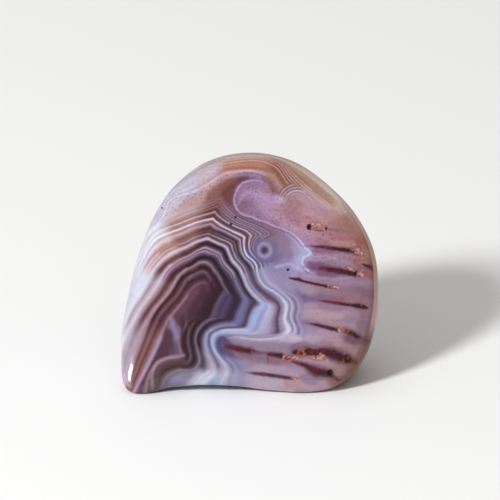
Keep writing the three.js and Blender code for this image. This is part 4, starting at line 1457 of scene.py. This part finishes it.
# %% Runs of colour across the rim bands
RIM_LEFT = [
    (-1.1, 195, 172, 178, 0), (-0.6, 196, 180, 190, 0.4), (-0.35, 188, 174, 190, 0.8),
    (-0.1, 202, 194, 211), (0.1, 202, 194, 212), (0.35, 188, 178, 196), (0.7, 192, 186, 204),
    (1, 202, 196, 214), (1.3, 188, 182, 202),
    (1.65, 198, 193, 212), (2.1, 187, 180, 196), (2.8, 180, 173, 188), (3.3, 182, 175, 190),
    (3.8, 172, 163, 175), (4.6, 196, 190, 202), (5.4, 206, 202, 212), (6, 210, 206, 214),
]
RIM_RISE = [
    (-0.9, 160, 124, 130, 0), (-0.45, 180, 148, 156, 0.7), (-0.1, 210, 192, 210), (0.12, 208, 190, 208),
    (0.4, 186, 158, 170),
    (0.8, 196, 168, 180), (1.2, 200, 180, 192), (1.6, 201, 184, 198), (2, 196, 175, 188),
    (2.6, 200, 179, 190), (3.2, 191, 168, 174), (4, 180, 158, 164), (4.6, 190, 168, 172),
    (5.2, 186, 166, 172), (6, 200, 186, 190),
]
RIM_CROWN = [
    (-0.75, 118, 74, 72, 0), (-0.5, 128, 84, 90, 0.7), (-0.3, 172, 138, 156), (-0.1, 206, 168, 180),
    (0.15, 210, 170, 176), (0.45, 188, 144, 144), (0.8, 174, 124, 112), (1.03, 167, 114, 99),
    (1.35, 186, 131, 112), (1.6, 188, 135, 115), (1.8, 184, 131, 116), (1.93, 196, 150, 138),
    (2.02, 210, 165, 155), (2.2, 190, 146, 136), (2.45, 180, 138, 127), (2.75, 194, 155, 146),
    (3.02, 204, 166, 156), (3.3, 196, 160, 150), (3.6, 194, 158, 150), (4, 200, 168, 162),
    (4.4, 212, 178, 172), (4.8, 204, 176, 172), (5.1, 196, 172, 170), (5.4, 184, 168, 168),
    (5.8, 196, 186, 186), (6, 204, 194, 194),
]
RIM_SHOULDER = [
    (-0.8, 146, 104, 110, 0), (-0.3, 156, 114, 118, 0.6), (0, 168, 126, 126), (0.3, 172, 128, 122),
    (0.75, 184, 139, 134), (1.15, 166, 117, 105), (1.5, 148, 99, 87), (1.8, 156, 106, 94),
    (2, 190, 140, 132), (2.2, 144, 95, 86), (2.35, 148, 100, 92), (2.5, 188, 141, 133), (2.7, 150, 104, 96),
    (3, 188, 144, 135), (3.2, 152, 108, 98), (3.5, 192, 150, 142), (3.7, 166, 124, 114), (4, 188, 148, 136),
    (4.2, 166, 126, 114), (4.5, 186, 146, 126), (4.85, 188, 150, 132), (5.05, 206, 178, 166),
    (5.35, 216, 192, 178), (5.7, 196, 168, 150), (6, 196, 168, 152),
]
RIM_END = [
    (-0.8, 182, 146, 168, 0), (1.6, 182, 148, 160, 0.2), (2, 200, 166, 176, 0.8), (2.3, 184, 148, 156),
    (2.7, 192, 156, 162), (3, 208, 174, 180), (3.25, 182, 146, 150), (3.5, 212, 178, 178),
    (3.75, 182, 148, 142), (4, 202, 168, 160), (4.25, 180, 140, 130), (4.6, 184, 146, 134),
    (4.9, 184, 147, 136), (5.1, 205, 178, 168), (5.35, 218, 196, 187), (5.7, 210, 194, 188),
    (6, 208, 200, 198),
]
print("stops across the rim", len(RIM_LEFT), len(RIM_RISE), len(RIM_CROWN), len(RIM_SHOULDER), len(RIM_END))

# %% Join the runs along the rim
LOWEST_RIM = -2.0
HIGHEST_RIM = 6.5
rim_colour, rim_cover = banded(rim_level, RIM_LEFT, LOWEST_RIM, HIGHEST_RIM)
for run, start, end in (
    (RIM_RISE, 6.6, 8.0), (RIM_CROWN, 9.0, 11.0), (RIM_SHOULDER, 15.5, 18.0), (RIM_END, 22.2, 23.8),
):
    colour, cover = banded(rim_level, run, LOWEST_RIM, HIGHEST_RIM)
    here = rise_between(rim_station, start, end)
    rim_colour = mixed(rim_colour, colour, here)
    rim_cover = rim_cover + (cover - rim_cover) * here
off_the_net = rise_between(rim_gap, 8.0, 16.0) * (1 - rise_between(rim_level, 5.9, 6.0))
rim_ends = rise_between(rim_station, 0.0, 1.5) * (1 - rise_between(rim_station, 25.2, 26.0))
rim_cover = rim_cover * (1 - off_the_net) * rim_ends
print("nodes so far", len(finish.web.nodes))

# %% Lay the bands over the washes
ground = mixed(washed, rim_colour, rim_cover)
ground = mixed(ground, fort_colour, fort_cover)
print("nodes so far", len(finish.web.nodes))

# %% [markdown]
# ## The eye, the violet cloud and the small rings
# Three smaller patterns lie over the bands. The eye is a thin tube in the stone, cut across, so its
# bands are round. The violet cloud is milky quartz with a pale skin, which is whitest at its sharp
# tip. The small rings at the top are one more eye, and only its upper left side shows. A distance is
# all that each of them needs, from a centre or from a line, so each is one more ramp.

# %% The eye
EYE = (264.5, 250.3)
EYE_HEIGHT = 1.06  # for a width of 1


def from_centre(centre, wide=1.0, high=1.0):
    """Distance from a centre on the sheet, in squares, or in half sizes of an ellipse."""
    side = (across - centre[0]) / wide
    drop = (down - centre[1]) / high
    return (side * side + drop * drop) ** 0.5


eye_colour, eye_cover = banded(
    from_centre(EYE, 1.0, EYE_HEIGHT) + waver * 1.2,
    [
        (0, 82, 64, 86), (2.2, 86, 68, 92), (3.4, 116, 102, 134), (5, 146, 132, 172), (6.4, 160, 146, 186),
        (7.8, 144, 128, 164, 0.9), (9.4, 126, 110, 146, 0.7), (11.6, 124, 110, 142, 0),
    ],
    0.0, 12.0,
)
ground = mixed(ground, eye_colour, eye_cover)
print("nodes with the eye", len(finish.web.nodes))

# %% The pale skin of the violet cloud, and its white tip
TIP = (305.0, 257.0)
TIP_SKIN = (172, 168, 208)
TIP_LINE = (204, 202, 234)
edge_colour, edge_cover = banded(
    cloud_gap + waver * 0.25,
    [
        (-3.6, 116, 88, 106, 0), (-2.2, 112, 84, 106, 0.5), (-1.3, 150, 120, 150, 0.6),
        (-0.6, 182, 152, 190, 0.9), (0.1, 190, 160, 198, 0.95), (0.9, 168, 136, 172, 0.7),
        (2.5, 152, 120, 154, 0.3), (6, 150, 118, 150, 0),
    ],
    -6.0, 8.0,
)
tip = 1 - rise_between(from_centre(TIP), 5.0, 20.0)
tip_glow = 1 - rise_between(from_centre(TIP), 5.0, 40.0)
along_edge = 1 - rise_between((cloud_gap * cloud_gap) ** 0.5, 0.3, 1.7)
edge_colour = laid_over(edge_colour, TIP_SKIN, tip)
edge_colour = laid_over(edge_colour, TIP_LINE, tip_glow * along_edge)
ground = mixed(ground, edge_colour, edge_cover * cloud_near)
print("nodes with the cloud's edge", len(finish.web.nodes))

# %% The small rings
RING_CENTRE = (297.0, 203.0)
MIDDLE_RING = 14.0  # squares from the centre
RING_SPREAD = 1.6  # the outer rings stop sooner than the inner ones, by this many squares to a square
ring = from_centre(RING_CENTRE)
ring_colour, ring_cover = banded(
    ring + waver * 0.6,
    [
        (6.5, 162, 120, 124, 0), (8, 166, 126, 132, 0.5), (9.2, 196, 160, 170, 0.9), (10.7, 166, 130, 142),
        (12.8, 210, 180, 190), (14.1, 118, 86, 95), (15.4, 202, 170, 182), (16.7, 124, 90, 100),
        (18.4, 188, 155, 168), (20.3, 130, 92, 102, 0.8), (21.6, 150, 112, 120, 0),
    ],
    5.0, 24.0,
)
ring_side = across + (ring - MIDDLE_RING) * RING_SPREAD
upper_left = (1 - rise_between(down, 192.0, 199.0)) * (1 - rise_between(ring_side, 299.0, 305.0))
ground = mixed(ground, ring_colour, ring_cover * upper_left)
print("nodes with the rings", len(finish.web.nodes))

# %% Lay the strokes over all of them
uncovered = scaled(ground, 1 - stroke_here)
ground = finish.node("ShaderNodeVectorMath", {"operation": "ADD"}, {0: uncovered, 1: stroked})

# %% [markdown]
# ## Fine grain
# Under a lens, no band is even. Hair lines of growth run between the drawn bands, the milky quartz on
# the right streams sideways, and clouds and grain lie over all. None of this has a place of its own,
# so it is noise. It changes how much light the ground returns, and warms the bright streaks. The right
# side and its rounded edge are also painted lighter, as painted light against the key's shade there.

# %% Hair lines, streaming, mottle and grain
HAIRS = 7.0  # hair lines to a level of the fort
STREAM_TURN = 0.13  # how far the streaming turns from level, in radians
STREAM_STRETCH = (0.02, 0.16, 0.05)  # clouds to a square along it, across it and into the stone
MOTTLE_SCALE = 1500.0
GRAIN_SCALE = 3400.0
hair = cloudy(level, HAIRS, 3.0, "1D") - 0.5
drift = finish.node(
    "ShaderNodeMapping", None, {"Vector": sheet, "Rotation": (0, 0, STREAM_TURN), "Scale": STREAM_STRETCH}
)
streaming = cloudy(drift, 1.0, 4.0) - 0.5
mottle = cloudy(place, MOTTLE_SCALE, 4.0) - 0.5
grain = cloudy(place, GRAIN_SCALE, 3.0) - 0.5
print("nodes so far", len(finish.web.nodes))

# %% Where each of them shows
FRECKLE_FREE = (286.0, 256.0)  # the clear quartz between the eye and the cloud's tip
on_right = rise_between(across, 286.0, 312.0) * (1 - rise_between(rim_level, -0.5, 0.5))
in_field = 1 - rise_between(level, -1.0, 0.0)
freckled = 1 - rise_between(down, 256.0, 276.0) * 0.85
freckled = freckled * rise_between(from_centre(FRECKLE_FREE, 28.0, 19.0), 0.8, 1.1)
freckled = freckled * (1 - rise_between(rim_level, -0.5, 0.5) * 0.6)

# %% Lighten and darken the ground with them, and paint light on the right side
tone = 1 + hair * 0.14 * (1 - on_right) + streaming * on_right * 0.6 + mottle * 0.25
tone = tone + grain * (0.2 + in_field * freckled * 0.6)
# the right side and its rounded edge are painted lighter: painted light against the shade from the key on
# the left
tone = tone * milk_and_painted_light_here * (1 + on_right * 0.17) * (1 + rise_between(share, 0.80, 1.0) * on_right * 0.18)
ground = scaled(ground, tone)
WARM_STREAM = (160, 104, 100)
warmer = rise_between(streaming + mottle * 0.3, 0.02, 0.22) * on_right
ground = laid_over(ground, WARM_STREAM, warmer * 0.30)
print("nodes so far", len(finish.web.nodes))

# %% [markdown]
# ## Freckles
# Specks of iron oxide lie in the pale quartz in clumps. Each is smaller than a square of the sheet,
# and there are hundreds, so they are not drawn. Cells of noise place them: a cell has a speck at its
# middle if its own number is high enough, and large soft clouds lower that bar inside a clump.

# %% Freckles, in clumps: cells to a metre, smallest and largest radius, bar, and colour
CLUMP_SCALE = 260.0
BAR_WIDTH = 0.04
clumps = rise_between(cloudy(place, CLUMP_SCALE, 2.0), 0.42, 0.62)
for scale, smallest, largest, bar, dark in (
    (3000.0, 0.08, 0.40, 0.74, (118, 56, 60)), (1300.0, 0.03, 0.15, 0.92, (96, 32, 40)),
):
    distance, own = crystal_cells(scale)
    chosen = rise_between(own + clumps * 0.3, bar, bar + BAR_WIDTH)
    speck = (1 - rise_between(distance, smallest, largest)) * chosen
    ground = laid_over(ground, dark, speck * in_field * freckled * 0.75)
print("nodes with the freckles", len(finish.web.nodes))

# %% [markdown]
# ## Threads of iron ore
# A thread of ore changes along its length: a violet haze, then wine red, then almost black, and where
# it ends in an open pit, rust and pale pink crystals. The filling that was drawn along each thread
# picks the colour, and two sizes of noise break up both the filling and the rim.

# %% The ore's own colour
RAGGED_SCALE = 2600.0
BLOTCH_SCALE = 900.0
ragged = cloudy(place, RAGGED_SCALE, 4.0) - 0.5
blotched = cloudy(place, BLOTCH_SCALE, 2.0) - 0.5
ore_colour, ore_cover = banded(
    ore_kind + ragged * 1.8 + blotched * 3.2,
    [
        (0, 126, 92, 130, 0.35), (0.6, 112, 60, 88, 0.6), (1, 100, 34, 68, 0.9), (1.5, 86, 18, 46),
        (2, 68, 8, 24), (2.4, 60, 18, 20), (2.75, 146, 64, 36), (3.1, 184, 104, 66), (3.6, 200, 134, 128),
        (4, 216, 162, 164),
    ],
    -0.5, 4.5,
)
print("nodes so far", len(finish.web.nodes))

# %% Crystals in the pale ends, each with a colour of its own
CRYSTAL_SCALE = 4400.0
_, facet = crystal_cells(CRYSTAL_SCALE)
facet_colour, _ = banded(
    facet,
    [
        (0, 84, 20, 28), (0.3, 130, 56, 54), (0.45, 198, 122, 112), (0.75, 226, 168, 164),
        (1, 250, 218, 216),
    ],
    0.0, 1.0,
)
crystal_here = rise_between(ore_kind + ragged * 0.6, 2.7, 3.2)
ore_colour = mixed(ore_colour, facet_colour, crystal_here * 0.6)

# %% Lay the ore on, with a violet halo and darker pits
HALO = (112, 66, 94)
PIT_FLOOR = (70, 32, 30)
ore_halo = 1 - rise_between(ore_offset + ragged * 0.5, 0.8, 2.4)
ore_halo = ore_halo * rise_between(ore_kind, 0.5, 1.4) * ore_near
ground = laid_over(ground, HALO, ore_halo * 0.5)
ore_body = 1 - rise_between(ore_offset + ragged * 1.2 + blotched * 0.8, 0.4, 1.5)
ore_mask = ore_body * ore_cover * ore_near
ground = mixed(ground, ore_colour, ore_mask)
ground = laid_over(ground, PIT_FLOOR, pit_press * 0.25)
print("nodes with the ore", len(finish.web.nodes))

# %% The few large dark specks: across, down, half width
SPECKS = [
    (308.8, 226.3, 2.6), (235.5, 217.3, 1.4), (231, 224.2, 1.5), (287.8, 269.6, 1.6), (330, 371.4, 3),
    (162, 208, 1),
]
SPECK_COLOUR = (52, 20, 28)
for speck_across, speck_down, half_width in SPECKS:
    offset = from_centre((speck_across, speck_down)) + ragged * 0.8
    speck = 1 - rise_between(offset, half_width * 0.6, half_width * 1.2)
    ground = laid_over(ground, SPECK_COLOUR, speck * is_face)
print("specks", len(SPECKS))

# %% [markdown]
# ## The thin rim
# Where the stone thins to its rounded edge, light comes through, and the edge looks pale. A see-through
# shader would show this truly, but it is slow and hides the fine bands, so the rim is a pale line that
# follows the share of the way out to the outline. Iron darkens it at the lower right instead.

# %% Pale and dark lines along the rim
PALE_CROWN = (250, 226, 212)
BROWN_LINE = (140, 88, 84)
LOWER_BROWN = (112, 62, 50)
CREAM_LINE = (250, 208, 194)
upper = 1 - rise_between(down, 200.0, 250.0)
upper_right = upper * rise_between(across, 280.0, 320.0)
ground = laid_over(ground, PALE_CROWN, rise_between(share, 0.90, 0.985) * upper_right * 0.75)
right_edge = rise_between(across, 330.0, 350.0)
lower_edge = rise_between(down, 318.0, 342.0)
cream_line = (1 - lower_edge) * rise_between(share, 0.958, 0.972) * (1 - rise_between(depth, 0.3, 0.9))
ground = laid_over(ground, BROWN_LINE, rise_between(share, 0.93, 0.95) * right_edge * 0.3)
ground = laid_over(ground, LOWER_BROWN, rise_between(share, 0.93, 0.985) * right_edge * lower_edge * 0.55)
ground = laid_over(ground, CREAM_LINE, cream_line * right_edge * 0.72)

# %% [markdown]
# ## The polish
# Tumbled quartz is nearly as smooth as glass, and bends light by 1.54. Its polish is a little duller in
# slow clouds, and dull in the pits and on the softer ore. A very low bump keeps reflections from being
# perfect.

# %% The polish
IOR_OF_QUARTZ = 1.54
BEST_POLISH = 0.09
POLISH_SCALE = 700.0
RELIEF_SCALE = 300.0
roughness = BEST_POLISH + cloudy(place, POLISH_SCALE) * 0.05 + pit_press * 0.5 + ore_mask * 0.12
relief = cloudy(place, RELIEF_SCALE, 3.0) + ore_mask * 0.6
bump = finish.node("ShaderNodeBump", None, {"Strength": 0.05, "Distance": 0.0002, "Height": relief})
polish = finish.node(
    "ShaderNodeBsdfPrincipled", None,
    {"Base Color": ground, "Roughness": roughness, "Normal": bump, "IOR": IOR_OF_QUARTZ},
)
finish.node("ShaderNodeOutputMaterial", None, {"Surface": polish})
mesh.materials.append(finish.material)
print("nodes", len(finish.web.nodes))

# %% [markdown]
# ## The table, the light and the camera
# A polished stone shows its surroundings as much as its own colour. The room is white, and four soft
# windows light it. The key, in front at the left, gives most of the light and throws the shadow back
# to the right. The glint is seen only as the highlight on the lower left lobe, and the tall window
# only as a soft sheen down the left flank. The back window lights the table behind. A lamp that
# either lights or is mirrored, but not both, lets each be set without upsetting the other.

# %% A plain pale table
TABLE_HALF_SIZE = 2.0  # metres, past anything that the stone mirrors
TABLE_PAINT = (0.89, 0.89, 0.89, 1)
TABLE_ROUGHNESS = 0.6
table = bmesh.new()
bmesh.ops.create_grid(table, x_segments=1, y_segments=1, size=TABLE_HALF_SIZE)
table_mesh = bpy.data.meshes.new("pale_table")
table.to_mesh(table_mesh)
table.free()
pale_table = bpy.data.objects.new("pale_table", table_mesh)
bpy.context.scene.collection.objects.link(pale_table)
table_finish = bpy.data.materials.new("pale_table")
table_finish.use_nodes = True
paint = table_finish.node_tree.nodes["Principled BSDF"]
paint.inputs["Base Color"].default_value = TABLE_PAINT
paint.inputs["Roughness"].default_value = TABLE_ROUGHNESS
table_mesh.materials.append(table_finish)
print("table", 2 * TABLE_HALF_SIZE, "m wide")

# %% Windows
STONE_MIDDLE = Vector((0.0, 0.0, 0.012))


def window(name, left_of_front, above, distance, size, power, colour=(1.0, 1.0, 1.0)):
    """A soft rectangular light that faces the stone, at angles in degrees and sizes in metres."""
    light = bpy.data.lights.new(name, "AREA")
    light.shape = "RECTANGLE"
    light.size, light.size_y = size
    light.energy = power
    light.color = colour
    lamp = bpy.data.objects.new(name, light)
    aside = math.radians(left_of_front)
    height = math.radians(above)
    level_reach = math.cos(height)
    direction = Vector((-math.sin(aside) * level_reach, -math.cos(aside) * level_reach, math.sin(height)))
    lamp.location = STONE_MIDDLE + direction * distance
    lamp.rotation_euler = direction.to_track_quat("Z", "Y").to_euler()
    bpy.context.scene.collection.objects.link(lamp)
    return lamp


DAYLIGHT = (0.97, 0.99, 1.0)
SKYLIGHT = (0.86, 0.93, 1.0)
key = window("key_window", 48, 33, 0.9, (0.16, 0.16), 9.0, DAYLIGHT)
key.visible_glossy = False
glint = window("glint_window", 53, 17, 0.9, (0.15, 0.25), 3.6)
glint.visible_diffuse = False
tall = window("tall_window", 84, 30, 0.8, (0.50, 0.42), 0.85, SKYLIGHT)
tall.visible_diffuse = False
back = window("back_window", 170, 62, 0.9, (0.5, 0.5), 0.75)
back.visible_glossy = False
print("windows", [lamp.name for lamp in (key, glint, tall, back)])

# %% The white room
ROOM_WHITE = (1.0, 0.97, 0.94, 1)
ROOM_STRENGTH = 0.42
room = bpy.data.worlds.new("white_room")
room.use_nodes = True
room.node_tree.nodes["Background"].inputs["Color"].default_value = ROOM_WHITE
room.node_tree.nodes["Background"].inputs["Strength"].default_value = ROOM_STRENGTH
bpy.context.scene.world = room
bpy.context.scene.view_settings.view_transform = "Standard"

# %% [markdown]
# ## The camera
# The camera looks square at the drawing sheet, so what is drawn on the sheet keeps its place in the
# view. It stands well back with a long lens, as for a small object seen from close by, which keeps the
# stone's outline from being stretched.

# %% The camera, at the drawing sheet's own angle
SHEET_SIZE = 500  # squares in the view, each way
VIEW_WIDTH = SHEET_SIZE * SQUARE * MILLIMETRE
VIEW_DISTANCE = 0.9
SENSOR_WIDTH = 36.0
camera_data = bpy.data.cameras.new("camera")
camera_data.sensor_width = SENSOR_WIDTH
camera_data.lens = SENSOR_WIDTH * VIEW_DISTANCE / VIEW_WIDTH
camera = bpy.data.objects.new("camera", camera_data)
middle_height = SHEET_LOWEST + (SHEET_FOOT - SHEET_SIZE / 2) * SQUARE
aim = Vector((0.0, 0.0, middle_height / math.cos(SIGHT) * MILLIMETRE))
toward_camera = Vector((0.0, -math.cos(SIGHT), math.sin(SIGHT)))
camera.location = aim + toward_camera * VIEW_DISTANCE
camera.rotation_euler = toward_camera.to_track_quat("Z", "Y").to_euler()
bpy.context.scene.collection.objects.link(camera)
bpy.context.scene.camera = camera
print("lens", round(camera_data.lens), "mm")
